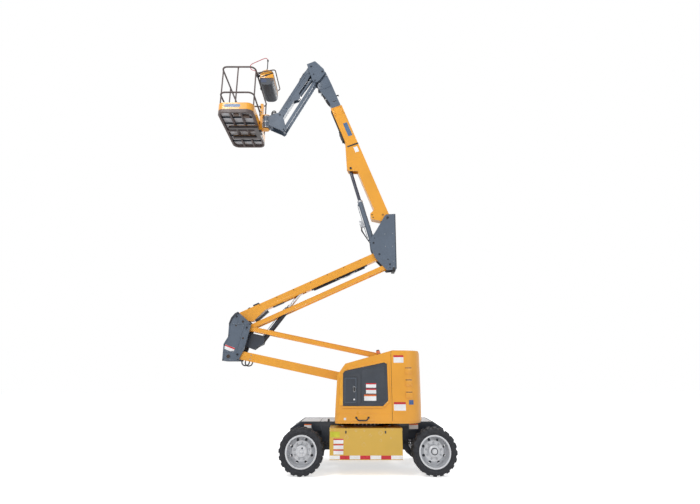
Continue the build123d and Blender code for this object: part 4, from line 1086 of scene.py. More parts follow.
class BOOMLIFT_OT_middle_knuckle(bpy.types.Operator):
    """Cast ribs, bosses, pins, hole rims and hoses of the middle knuckle, and painted shade in its holes"""
    bl_idname = "boomlift.middle_knuckle"
    bl_label = "Middle knuckle"

    def execute(self, context):
        face = corner("mid_knuckle")[0].y
        # outline of the cast side and the ribs across it, from the lower arm's pin
        outline = [(-0.042, 0.772), (0.218, 0.550), (0.112, 0.090), (0.047, -0.047), (0.028, -0.111),
                   (-0.269, -0.111), (-0.267, 0.188), (-0.195, 0.319), (-0.196, 0.551), (-0.162, 0.660),
                   (-0.095, 0.745)]
        wide = 0.024
        turned = outline[1:] + outline[:1]
        ribs = [(a, b, wide) for a, b in zip(outline, turned)]
        ribs += [((-0.190, 0.545), (0.200, 0.545), 0.018), ((-0.035, 0.545), (-0.050, 0.750), 0.016),
                 ((-0.030, 0.040), (0.080, 0.530), 0.018), ((-0.258, 0.040), (-0.075, 0.055), 0.016)]
        bars = []
        for k, ((x0, z0), (x1, z1), thick) in enumerate(ribs):
            run = Member(KNUCKLE + Vector((x0, 0, z0)), KNUCKLE + Vector((x1, 0, z1)))
            inside = (0, thick) if k < len(outline) else (-thick / 2, thick / 2)
            bar = box("rib", (0, face - 0.006, -inside[1]), (run.long, face, -inside[0]), 0.0025)
            bars.append(run.stand(bar))
        for (x, z), radius in (((0, 0), 0.040), ((0.140, 0.482), 0.038), ((-0.062, 0.684), 0.042)):
            bars.append(disc("boss", KNUCKLE.x + x, KNUCKLE.z + z, radius, face, 0.007))
        for x, z, radius in ((-0.164, -0.033, 0.042), (0.060, 0.592, 0.030)):
            bars.append(disc("hole_rim", KNUCKLE.x + x, KNUCKLE.z + z, radius, face, 0.006, radius - 0.009))
        fit(bars, "knuckle_ribs", "grey_paint", "mid_knuckle", pair=True)
        # flat dark brown discs where the holes are: painted shade standing for the depth of the holes, with rust
        # spots
        holes = [disc("hole", KNUCKLE.x + x, KNUCKLE.z + z, radius, face, 0.0012)
                 for x, z, radius in ((-0.164, -0.033, 0.034), (0.080, 0.290, 0.018), (-0.065, 0.520, 0.015),
                                      (0.060, 0.592, 0.022))]
        fit(holes, "knuckle_hole_shade", "hole_shade_rust", "mid_knuckle", pair=True)
        pins("knuckle_pins", [(KNUCKLE.x, KNUCKLE.z, 0.022, face - 0.007),
                              (KNUCKLE.x + 0.140, KNUCKLE.z + 0.482, 0.019, face - 0.007),
                              (KNUCKLE.x - 0.062, KNUCKLE.z + 0.684, 0.023, face - 0.007)], "mid_knuckle")
        bolts("knuckle_bolts", [(KNUCKLE.x + x, KNUCKLE.z + z, face - 0.006)
                                for x, z in ((-0.255, -0.090), (0.010, -0.090), (-0.254, 0.170),
                                             (-0.184, 0.340), (0.190, 0.545), (-0.182, 0.530))], 0.007,
              "mid_knuckle", "dark_bolt")
        cap = prism("knuckle_cap", [(KNUCKLE.x + x, KNUCKLE.z + z)
                                    for x, z in ((-0.200, 0.552), (-0.166, 0.664), (-0.098, 0.750),
                                                 (-0.044, 0.776), (-0.010, 0.742), (-0.085, 0.700),
                                                 (-0.140, 0.640), (-0.170, 0.552))], 0.012, face - 0.003,
                    0.003)
        done(mirrored(cap), FINISH["dark_steel"], "mid_knuckle", "dark_steel")
        plate("knuckle_plate", (KNUCKLE.x - 0.155, KNUCKLE.z + 0.108), (0.190, 0.080), face, "blank_white",
              "mid_knuckle", "grey_paint", radians(-20))
        plate("knuckle_plate_band", (KNUCKLE.x - 0.145, KNUCKLE.z + 0.132), (0.190, 0.024), face - 0.0012,
              "blank_red", "mid_knuckle", "grey_paint", radians(-20))
        # hoses that climb inside the knuckle
        lines = []
        for k, y in enumerate((-0.120, -0.095, 0.095, 0.120)):
            lines.append(hose("line",
                              [KNUCKLE + Vector(p)
                               for p in ((-0.20, y, -0.06), (-0.215, y, 0.10), (-0.16 + 0.01 * k, y, 0.26),
                                         (-0.150, y, 0.42), (-0.135, y, 0.56))], 0.010))
        fit(lines, "knuckle_hoses", "hose_rubber", "mid_knuckle")
        return {"FINISHED"}


class BOOMLIFT_OT_lower_pair(bpy.types.Operator):
    """Doubler plates, bolts and hose loop of the lower arm, and lips of the lower link"""
    bl_idname = "boomlift.lower_pair"
    bl_label = "Lower arm and link"

    def execute(self, context):
        face = corner("lower_arm")[0].y
        arm = LOWER_ARM
        plates = []
        for start, reach in ((0, 0.30), (arm.long, -0.34)):
            ends = (start - 0.062, start + reach) if reach > 0 else (start + reach, start + 0.062)
            plates.append(arm.slab("doubler", (ends[0], face - 0.003, -0.058), (ends[1], face, 0.058),
                                   0.0025))
        fit(plates, "arm_doublers", "yellow_paint", "lower_arm", pair=True)
        spots = [arm.at(x, z) for x in (0.24, arm.long - 0.28) for z in (-0.035, 0.035)]
        bolts("arm_bolts", [(p.x, p.z, face - 0.003) for p in spots], 0.008, "lower_arm")
        loop = [(0.100, -0.070), (0.100, -0.105), (0.110, -0.140), (0.150, -0.165), (0.195, -0.160),
                (0.230, -0.135), (0.236, -0.100), (0.236, -0.070)]
        lines = arm.lines(loop, 0.011, (-0.131, 0.131))
        fit(lines, "arm_hoses", "hose_rubber", "lower_arm")
        link = LOWER_LINK
        edge = corner("lower_link")[0].y
        lips = []
        for z in (-0.042, 0.033):
            lips.append(link.slab("lip", (0.10, edge - 0.007, z), (link.long - 0.10, edge, z + 0.009), 0.002))
        for x in (0.10, link.long - 0.109):
            lips.append(link.slab("lip", (x, edge - 0.007, -0.042), (x + 0.009, edge, 0.042), 0.002))
        fit(lips, "lower_link_lips", "yellow_paint", "lower_link", pair=True)
        return {"FINISHED"}


class BOOMLIFT_OT_upper_pair(bpy.types.Operator):
    """Bolts, underside track and bracket of the upper boom, a dark block of painted shade under its foot, and lips
    of the upper link
    """
    bl_idname = "boomlift.upper_pair"
    bl_label = "Upper boom and link"

    def execute(self, context):
        boom, face = UPPER_BOOM, -0.065
        spots = [boom.at(x, 0.056) for x in (0.45, 0.80, 1.15, 1.50, 1.85, 2.20, 2.55)]
        bolts("boom_bolts", [(p.x, p.z, face) for p in spots], 0.0065, "upper_boom", "dark_bolt")
        seam = [boom.slab("seam", (x, face - 0.0015, -0.074), (x + 0.006, face, 0.074), 0.0007)
                for x in (0.56, boom.long - 0.42)]
        seam.append(boom.slab("doubler", (0.60, face - 0.004, -0.066), (1.40, face, -0.020), 0.003))
        fit(seam, "boom_seams", "yellow_paint", "upper_boom", pair=True)
        track = join([boom.slab("track", (x0, -0.048, -0.088), (x1, 0.048, -0.0755), 0.004)
                      for x0, x1 in ((0.66, 0.88), (1.46, boom.long - 0.30))])
        # a dark block under the slanted edge at the boom's foot: painted shade, standing for the shadow on the
        # foot's underside
        ramp_start, ramp_end = Vector((-1.315, 0, 2.494)), Vector((-1.077, 0, 2.710))
        ramp_run = Member(ramp_start, ramp_end)
        under = ramp_run.slab("under", (0.02, -0.050, -0.040), (ramp_run.long, 0.050, -0.004), 0.004)
        fit([track, under], "hose_track_and_shade_block", "dark_steel", "upper_boom")
        lines = boom.lines(((1.50, -0.101), (1.9, -0.103), (2.3, -0.101), (boom.long - 0.36, -0.102)), 0.0085,
                           (-0.03, -0.01, 0.012, 0.032))
        fit(lines, "track_hoses", "hose_rubber", "upper_boom")
        loop = hose("pale_loop", [boom.at(x, z, -0.03)
                                  for x, z in ((1.95, -0.085), (2.02, -0.108), (2.14, -0.128), (2.26, -0.128),
                                               (2.36, -0.108), (2.42, -0.085))], 0.008)
        fit([loop], "cable_loop", "bolt_steel", "upper_boom", "tyre_rubber")
        bracket = [boom.slab("bracket", (0.33, y - 0.004, 0.076), (0.45, y + 0.004, 0.110), 0.002)
                   for y in (-0.046, 0.046)]
        bracket.append(boom.slab("bracket", (0.34, -0.044, 0.076), (0.44, 0.044, 0.084), 0.002))
        bracket.append(boom.slab("nub", (0.22, -0.050, 0.072), (0.265, -0.022, 0.094), 0.004))
        fit(bracket, "boom_bracket", "dark_steel", "upper_boom")
        link = UPPER_LINK
        edge = corner("upper_link")[0].y
        lips = [link.slab("lip", (0.30, edge - 0.004, z), (link.long - 0.42, edge, z + 0.009), 0.0015)
                for z in (-0.042, 0.033)]
        fit(lips, "upper_link_lips", "yellow_paint", "upper_link", pair=True)
        return {"FINISHED"}


class BOOMLIFT_OT_upper_knuckle(bpy.types.Operator):
    """Pins, bolts, hose clamp and dark foot of the upper knuckle"""
    bl_idname = "boomlift.upper_knuckle"
    bl_label = "Upper knuckle"

    def execute(self, context):
        hub = pin("upper_knuckle_level")
        face = corner("upper_knuckle")[0].y
        main = pin("boom_lift")
        barrel = pin("main_barrel_turn")
        places = [(hub.x, hub.z), (hub.x + 0.202, hub.z - 0.202), (barrel.x, barrel.z), (main.x, main.z)]
        heads = [disc("head", x, z, radius, face, 0.0035)
                 for (x, z), radius in zip(places, (0.021, 0.019, 0.021, 0.026))]
        fit(heads, "upper_pins", "dark_bolt", "upper_knuckle", pair=True)
        dark = [(0.163, 0.732), (0.165, -0.103), (0.200, -0.268), (-0.090, 0.330)]
        heads = [disc("bolt", hub.x + x, hub.z + z, 0.011, face, 0.0035) for x, z in dark]
        fit(heads, "upper_bolts", "dark_bolt", "upper_knuckle", pair=True)
        pale = [(0.120, 0.159), (0.266, 0.427), (0.116, 0.415), (0.274, -0.139), (0.271, -0.243),
                (0.262, 0.160)]
        studs = [disc("stud", hub.x + x, hub.z + z, 0.0075, face, 0.003) for x, z in pale]
        fit(studs, "upper_studs", "bolt_steel", "upper_knuckle", pair=True)
        # flange down the right edge, and the dark foot below it
        right = Member(hub + Vector((0.330, 0, -0.290)), hub + Vector((0.336, 0, 0.832)))
        flange = right.slab("flange", (0, face - 0.002, 0.001), (right.long, face, 0.018), 0.001)
        done(mirrored(flange), FINISH["dark_steel"], "upper_knuckle", "dark_steel")
        foot = [box("foot", (hub.x + 0.236, -0.095, hub.z - 0.345), (hub.x + 0.300, 0.095, hub.z - 0.300),
                    0.008), box("clamp", (hub.x + 0.245, face - 0.002, hub.z - 0.318),
                                (hub.x + 0.300, face + 0.01, hub.z - 0.262), 0.004)]
        fit(foot, "upper_foot", "black_plastic", "upper_knuckle")
        lines = [hose("line", [hub + Vector(p) for p in ((0.25, y, -0.22), (0.285, y, 0.0), (0.280, y, 0.25),
                                                         (0.290, y, 0.48), (0.270, y, 0.62))], 0.009)
                 for y in (-0.055, -0.03, 0.03, 0.055)]
        fit(lines, "upper_hoses", "hose_rubber", "upper_knuckle")
        return {"FINISHED"}


# ---- main boom: local x runs up the boom, local z towards its underside ----
RISE = radians(180 - 69.1)
MAIN = Member(pin("boom_lift"), pin("boom_lift") + Vector((cos(RISE), 0, sin(RISE))))
MAIN_LONG = 2.775
MAIN_BACK, MAIN_UNDER = -0.060, 0.185
FLY_BACK, FLY_UNDER = -0.044, 0.162
MAIN_FACE, FLY_FACE, JIB_FACE = -0.078, -0.058, -0.055


class BOOMLIFT_OT_main_boom(bpy.types.Operator):
    """Collar, bolts, hose guide, strap, blank plates and hoses of the main boom"""
    bl_idname = "boomlift.main_boom"
    bl_label = "Main boom"

    def execute(self, context):
        boom, face = MAIN, MAIN_FACE
        rings = []
        for x, wide, proud in ((MAIN_LONG - 0.006, 0.012, 0.004), (MAIN_LONG - 0.200, 0.008, 0.003)):
            rings.append(boom.slab("ring", (x - wide, face - proud, MAIN_BACK), (x, face, MAIN_UNDER), 0.001))
            rings.append(boom.slab("ring", (x - wide, face, MAIN_BACK - proud), (x, 0, MAIN_BACK), 0.001))
            rings.append(boom.slab("ring", (x - wide, face, MAIN_UNDER), (x, 0, MAIN_UNDER + proud), 0.001))
        rings.append(boom.slab("pad", (MAIN_LONG - 0.17, face - 0.004, MAIN_BACK + 0.020),
                               (MAIN_LONG - 0.04, face, MAIN_BACK + 0.060), 0.002))
        rings.append(boom.slab("pad", (MAIN_LONG - 0.17, face - 0.004, MAIN_UNDER - 0.060),
                               (MAIN_LONG - 0.04, face, MAIN_UNDER - 0.020), 0.002))
        fit(rings, "boom_collar", "yellow_paint", "main_boom", pair=True)
        spots = [(MAIN_LONG - x, z) for x in (0.055, 0.150) for z in (MAIN_BACK + 0.040, MAIN_UNDER - 0.040)]
        spots += [(MAIN_LONG - 0.205, MAIN_BACK + 0.020), (MAIN_LONG - 0.205, MAIN_UNDER - 0.020)]
        bolts("collar_bolts", [(*(boom.at(x, z).xz), face - 0.003) for x, z in spots], 0.006, "main_boom",
              "dark_bolt")
        # foot: bore ring, lobe bolts
        ring = disc("bore", boom.at(0.10, 0.060).x, boom.at(0.10, 0.060).z, 0.020, face, 0.004, 0.011)
        lobes = [disc("lobe", *boom.at(x, z).xz, 0.013, face, 0.005)
                 for x, z in ((0.175, 0.262), (0.118, 0.262))]
        lobes.append(ring)
        fit(lobes, "foot_bolts", "dark_bolt", "main_boom", pair=True)
        pins("rod_pins", [(0.502, 5.646, 0.024, -0.091)], "main_boom")
        # blank plates down the near face
        plate("boom_plate", boom.at(2.170, 0.030).xz, (0.330, 0.092), face, "blank_slate", "main_boom",
              "yellow_paint", boom.angle)
        plate("boom_decal", boom.at(1.660, 0.030).xz, (0.130, 0.085), face, "blank_white", "main_boom",
              "yellow_paint", boom.angle)
        strap = [boom.slab("strap", (1.765, face - 0.0025, MAIN_BACK - 0.002), (1.800, face, MAIN_UNDER),
                           0.001), boom.slab("strap", (1.765, face, MAIN_BACK - 0.0035),
                                             (1.800, -face, MAIN_BACK), 0.001),
                 boom.slab("strap", (1.765, -face, MAIN_BACK - 0.002), (1.800, -face + 0.0025, MAIN_UNDER),
                           0.001)]
        fit(strap, "boom_strap", "black_plastic", "main_boom")
        # hose guide and hoses under the boom, clear of the lift cylinder
        guide = []
        for x in (1.960, 2.130):
            guide.append(boom.slab("guide", (x, -0.052, MAIN_UNDER), (x + 0.030, 0.052, MAIN_UNDER + 0.014),
                                   0.002))
            for y in (-0.050, 0.050):
                guide.append(boom.slab("guide", (x, y - 0.004, MAIN_UNDER),
                                       (x + 0.030, y + 0.004, MAIN_UNDER + 0.040), 0.002))
            guide.append(boom.slab("guide", (x, -0.052, MAIN_UNDER + 0.034),
                                   (x + 0.030, 0.052, MAIN_UNDER + 0.041), 0.002))
        guide.append(boom.slab("guard", (1.950, -0.058, MAIN_UNDER), (2.180, -0.052, MAIN_UNDER + 0.045),
                               0.003))
        fit(guide, "hose_guide", "black_plastic", "main_boom")
        lines = [hose("line", [boom.at(x, MAIN_UNDER + z, y)
                               for x, z in ((1.930, 0.004), (1.970, 0.022), (2.06, 0.030 + 0.004 * k),
                                            (2.16, 0.022), (2.24, 0.008), (2.50, 0.007),
                                            (MAIN_LONG - 0.03, 0.007))], 0.007)
                 for k, y in enumerate((-0.034, -0.012, 0.012, 0.034))]
        fit(lines, "boom_hoses", "hose_rubber", "main_boom")
        # edge seams down the back corners
        seams = [boom.slab("seam", (0.12, face - 0.0012, z), (MAIN_LONG - 0.21, face, z + 0.004), 0.0005)
                 for z in (MAIN_BACK + 0.014, MAIN_UNDER - 0.018)]
        fit(seams, "boom_seams_main", "yellow_paint", "main_boom", pair=True)
        return {"FINISHED"}


class BOOMLIFT_OT_fly_boom(bpy.types.Operator):
    """Head plates, pads, bracket and hoses of the boom's extension"""
    bl_idname = "boomlift.fly_boom"
    bl_label = "Extension"

    def execute(self, context):
        boom, face = MAIN, FLY_FACE
        body = "fly_boom"
        head = prism("head_plate", [(3.330, -0.043), (3.706, -0.030), (3.762, 0.044), (3.706, 0.118),
                                    (3.440, 0.258), (3.360, 0.258), (3.300, 0.222)], 0.006, face - 0.003,
                     0.0025)
        boom.stand(head)
        seams = [head, boom.slab("seam", (3.300, face - 0.003, FLY_BACK), (3.308, face, 0.225), 0.001)]
        panel = prism("panel", [(2.985, -0.026), (3.270, -0.030), (3.270, 0.195), (2.985, 0.146)], 0.002,
                      face - 0.001, 0.001, 1)
        boom.stand(panel)
        seams.append(panel)
        fit(seams, "head_plates", "grey_paint", body, pair=True)
        pale = [disc("stud", *boom.at(x, z).xz, 0.014, face - 0.006, 0.004)
                for x, z in ((3.620, -0.010), (3.470, 0.205))]
        fit(pale, "head_studs", "bolt_steel", body, "grey_paint", pair=True)
        bolts("head_bolts", [(*(boom.at(x, z).xz), face - 0.006)
                             for x, z in ((3.66, 0.012), (3.58, -0.014), (3.400, 0.222), (3.425, 0.160),
                                          (3.380, 0.190))], 0.0065, body, "dark_bolt")
        slot = boom.slab("slot", (2.925, face - 0.003, 0.002), (2.940, face, 0.092), 0.001)
        fit([slot], "fly_slot", "black_plastic", body, "dark_steel", pair=True)
        bracket = [boom.slab("bracket", (3.080, -0.020, FLY_BACK - 0.055), (3.090, 0.020, FLY_BACK), 0.001),
                   boom.slab("bracket", (3.060, -0.016, FLY_BACK - 0.058), (3.090, 0.016, FLY_BACK - 0.048),
                             0.002), boom.slab("hook", (3.310, -0.040, 0.225), (3.345, 0.040, 0.285), 0.004)]
        fit(bracket, "fly_brackets", "dark_steel", body)
        lines = [hose("line",
                      [boom.at(x, z, y) for x, z in ((2.905, FLY_UNDER + 0.004),
                                                     (2.96, FLY_UNDER + 0.018 + 0.003 * k),
                                                     (3.14, 0.205 + 0.002 * k), (3.27, 0.232),
                                                     (3.33, 0.215))], 0.0075)
                 for k, y in enumerate((-0.040, -0.022, 0.0, 0.022, 0.040))]
        fit(lines, "fly_hoses", "hose_rubber", body)
        clips = [boom.slab("clip", (x, -0.050, z - 0.002), (x + 0.020, 0.050, z + 0.016), 0.003)
                 for x, z in ((3.05, 0.195), (3.22, 0.240))]
        fit(clips, "fly_clips", "bolt_steel", body)
        return {"FINISHED"}


# ---- cylinders ----
# name, low pin, direction, barrel length, barrel and rod radius; the jib's folds too close for fittings
CYLINDERS = [("riser", "riser_barrel_turn", (0.5967, 0.8025), 0.855, 0.046, 0.030),
             ("main", "main_barrel_turn", (-0.27, 0.9628), 0.960, 0.052, 0.036)]


class BOOMLIFT_OT_cylinders(bpy.types.Operator):
    """Glands, ports, feed pipes and valve blocks of the cylinders"""
    bl_idname = "boomlift.cylinders"
    bl_label = "Cylinders"

    def execute(self, context):
        for name, joint, (dx, dz), reach, barrel, rod in CYLINDERS:
            start = pin(joint)
            line = Member(start, start + Vector((dx, 0, dz)))
            body = f"{name}_barrel"
            lip = 0.005 if name == "main" else 0.001
            profile = [(rod + 0.002, 0), (barrel + 0.001, 0), (barrel + lip, 0.004), (barrel + lip, 0.022),
                       (barrel + 0.0005, 0.026), (barrel + 0.0005, 0.036), (barrel - 0.002, 0.040),
                       (rod + 0.002, 0.040)]
            gland = moved(lathe("gland", [(r, -y) for r, y in profile], 36),
                          turned((reach + 0.004, 0, 0), -pi / 2, "Z"))
            line.stand(gland)
            fit([gland], f"{name}_gland", "bolt_steel", body, "rod_chrome")
            # ports near both ends joined by a hard pipe on the side that faces down
            ports = []
            for x in (0.110, reach - 0.075):
                ports.append(line.slab("port", (x - 0.016, -0.016, barrel - 0.004),
                                       (x + 0.016, 0.016, barrel + 0.016), 0.003))
            low, high = barrel + 0.010, barrel + 0.020
            pipe = hose("pipe",
                        [line.at(x, z) for x, z in ((0.150, low), (0.165, high), (0.25, high),
                                                    (reach - 0.15, high), (reach - 0.10, high),
                                                    (reach - 0.085, low))], 0.006)
            fit([*ports, pipe], f"{name}_ports", "grey_paint", body)
            if name == "main":
                block = [line.slab("valve", (0.395, -0.050, 0.076), (0.500, 0.030, 0.142), 0.006),
                         line.slab("seat", (0.405, -0.030, 0.048), (0.490, 0.020, 0.080), 0.004)]
                for x, z in ((0.505, 0.100), (0.505, 0.126)):
                    block.append(line.slab("coil", (x - 0.006, -0.036, z - 0.011),
                                           (x + 0.050, -0.012, z + 0.011), 0.006))
                fit(block, "valve_block", "valve_pale", body)
                lines = [hose("line",
                              [line.at(x, z, y)
                               for x, z, y in ((0.400, 0.120, -0.02), (0.350, 0.138 + 0.01 * k, -0.02),
                                               (0.270, 0.120, -0.02 + 0.02 * k),
                                               (0.180, 0.092, -0.01 + 0.02 * k), (0.100, 0.072, 0.0),
                                               (0.055, 0.055, 0.0))], 0.008) for k in range(3)]
                fit(lines, "valve_hoses", "hose_rubber", body)
            else:
                block = line.slab("valve", (0.100, -0.030, barrel + 0.004 - 0.012),
                                  (0.170, 0.030, barrel + 0.004 + 0.012), 0.004)
                fit([block], f"{name}_valve", "valve_pale", body)
        return {"FINISHED"}


# ---- jib ----
JIB = Member(pin("jib_lift"), pin("jib_end_level"))


class BOOMLIFT_OT_jib(bpy.types.Operator):
    """Pins, stiffeners, bolts and hoses of the jib, its base and its end"""
    bl_idname = "boomlift.jib"
    bl_label = "Jib"

    def execute(self, context):
        top, tip = pin("jib_lift"), pin("jib_end_level")
        head = pin("jib_base_level")
        link_top = pin("jib_link_turn")
        drop = tip - top
        face = corner("jib_base")[0].y
        barrel = pin("jib_barrel_turn")
        for name, body, places in (
                ("base_pins", "jib_base", [(head, 0.026), (top, 0.026), (link_top, 0.020),
                                           (barrel, 0.018)]),
                ("end_pins", "jib_end", [(tip, 0.026), (link_top + drop, 0.020)])):
            heads = []
            for place, radius in places:
                heads.append(disc("washer", place.x, place.z, radius * 1.35, face, 0.004))
            fit(heads, name, "grey_paint", body, pair=True)
            pins(name + "_heads", [(place.x, place.z, radius * 0.8, face - 0.004)
                                   for place, radius in places], body)
        edge = JIB_FACE
        rail = [JIB.slab("rib", (0.180, edge - 0.004, z), (JIB.long - 0.14, edge, z + 0.010), 0.002)
                for z in (-0.062, -0.020)]
        rail.append(JIB.slab("rib", (JIB.long - 0.150, edge - 0.004, -0.062), (JIB.long - 0.140, edge, 0.050),
                             0.002))
        rail.append(JIB.slab("doubler", (-0.050, edge - 0.005, -0.058), (0.150, edge, 0.030), 0.003))
        fit(rail, "jib_ribs", "grey_paint", "jib", pair=True)
        bolts("jib_bolts", [(*(JIB.at(x, z).xz), edge)
                            for x, z in ((0.30, 0.0), (0.52, -0.005), (0.94, 0.010), (1.16, 0.020))], 0.007,
              "jib", "dark_bolt")
        lines = JIB.lines(((0.10, -0.079), (0.18, -0.092), (0.34, -0.090), (0.46, -0.076)), 0.008,
                          (-0.030, -0.008, 0.014))
        fit(lines, "jib_hoses", "hose_rubber", "jib")
        clips = [JIB.slab("clip", (x, -0.044, -0.102), (x + 0.020, 0.028, -0.074), 0.003)
                 for x in (0.20, 0.34)]
        fit(clips, "jib_clips", "dark_bolt", "jib")
        # rotor: rings round the shaft at its ends and middle, between the platform's lugs
        axis = pin("platform_rotate")
        low, high = 6.620, 6.910
        casing = []
        for z, tall in ((low + 0.006, 0.022), (high - 0.028, 0.022), ((low + high) / 2 - 0.010, 0.020)):
            casing.append(moved(lathe("ring", [(0.070, 0), (0.081, 0), (0.0825, -0.003),
                                               (0.0825, -tall + 0.003), (0.081, -tall), (0.070, -tall)], 40),
                                turned((axis.x, 0, z), -pi / 2, "X")))
        fit(casing, "rotor_rings", "valve_pale", "jib_end")
        block = box("rotor_valve", (axis.x + 0.072, -0.060, 6.800), (axis.x + 0.120, 0.030, 6.875), 0.005)
        done(block, FINISH["dark_steel"], "jib_end", "dark_steel")
        # loops from the end block over to the rotor's valve
        start = Vector((-1.232, 0, 6.880))
        loops = []
        for k, y in enumerate((-0.055, -0.020, 0.020)):
            path = [(0.025, 0.0), (0.025, 0.060), (0.030, 0.120 - 0.01 * k), (0.072, 0.158 - 0.012 * k),
                    (0.120, 0.130 - 0.01 * k), (0.116, 0.070), (0.072, 0.045), (0.062, 0.0)]
            loops.append(hose("loop", [start + Vector((x, y, z)) for x, z in path], 0.0105))
        fit(loops, "rotor_hoses", "hose_rubber", "jib_end")
        return {"FINISHED"}


# ---- platform ----
def rounded_loop(half_x, half_y, radius, steps=8):
    """Corner-rounded rectangle about the origin, anticlockwise from the right side's lower corner."""
    points = []
    for k, (sx, sy) in enumerate(((1, -1), (1, 1), (-1, 1), (-1, -1))):
        for step in range(steps + 1):
            turn = pi / 2 * (k - 1 + step / steps)
            points.append((sx * (half_x - radius) + radius * cos(turn),
                           sy * (half_y - radius) + radius * sin(turn)))
    return points


class BOOMLIFT_OT_toe_board(bpy.types.Operator):
    """Yellow toe board round the floor, open where the worker steps in, with its blank plate"""
    bl_idname = "boomlift.toe_board"
    bl_label = "Toe board"

    def execute(self, context):
        low, high = corner("platform_floor")
        centre = (low + high) / 2
        half_x, half_y = (high.x - low.x) / 2, (high.y - low.y) / 2
        base = high.z - 0.0027
        points = [(centre.x + x, centre.y + y, base) for x, y in rounded_loop(half_x, half_y, 0.130, 10)]
        wall = ring_of("toe_board", points)
        edit(wall, "EDGE")
        bpy.ops.mesh.extrude_region_move(TRANSFORM_OT_translate={"value": (0, 0, 0.150)})
        leave_edit()
        # the long straight face at the entry is cut at both posts
        entry = 0.280
        edit(wall)
        for x in (centre.x - entry, centre.x + entry):
            bpy.ops.mesh.select_all(action="SELECT")
            bpy.ops.mesh.bisect(plane_co=(x, 0, 0), plane_no=(1, 0, 0))
        pick(wall, lambda mid, normal: abs(mid.x - centre.x) < entry and mid.y > high.y - 0.01)
        bpy.ops.mesh.delete(type="FACE")
        bpy.ops.mesh.select_all(action="SELECT")
        bpy.ops.mesh.normals_make_consistent(inside=False)
        leave_edit()
        only(wall)
        sheet = wall.modifiers.new("sheet", "SOLIDIFY")
        sheet.thickness = 0.004
        first = wall.data.polygons[0]
        sheet.offset = -1 if first.normal.dot(first.center - centre) > 0 else 1
        bpy.ops.object.modifier_apply(modifier="sheet")
        done(wall, FINISH["yellow_paint"], "platform", "yellow_paint")
        # rounded blank plate on the near face
        rim = moved(prism("toe_plate", [(x, z) for x, z in rounded_loop(0.165, 0.034, 0.033, 6)], 0.0012,
                          low.y + 0.0029, 0.0004, 1),
                    Matrix.Translation((centre.x - 0.055, -0.004, base + 0.080)))
        done(rim, FINISH["blank_slate"], "platform", "yellow_paint")
        return {"FINISHED"}


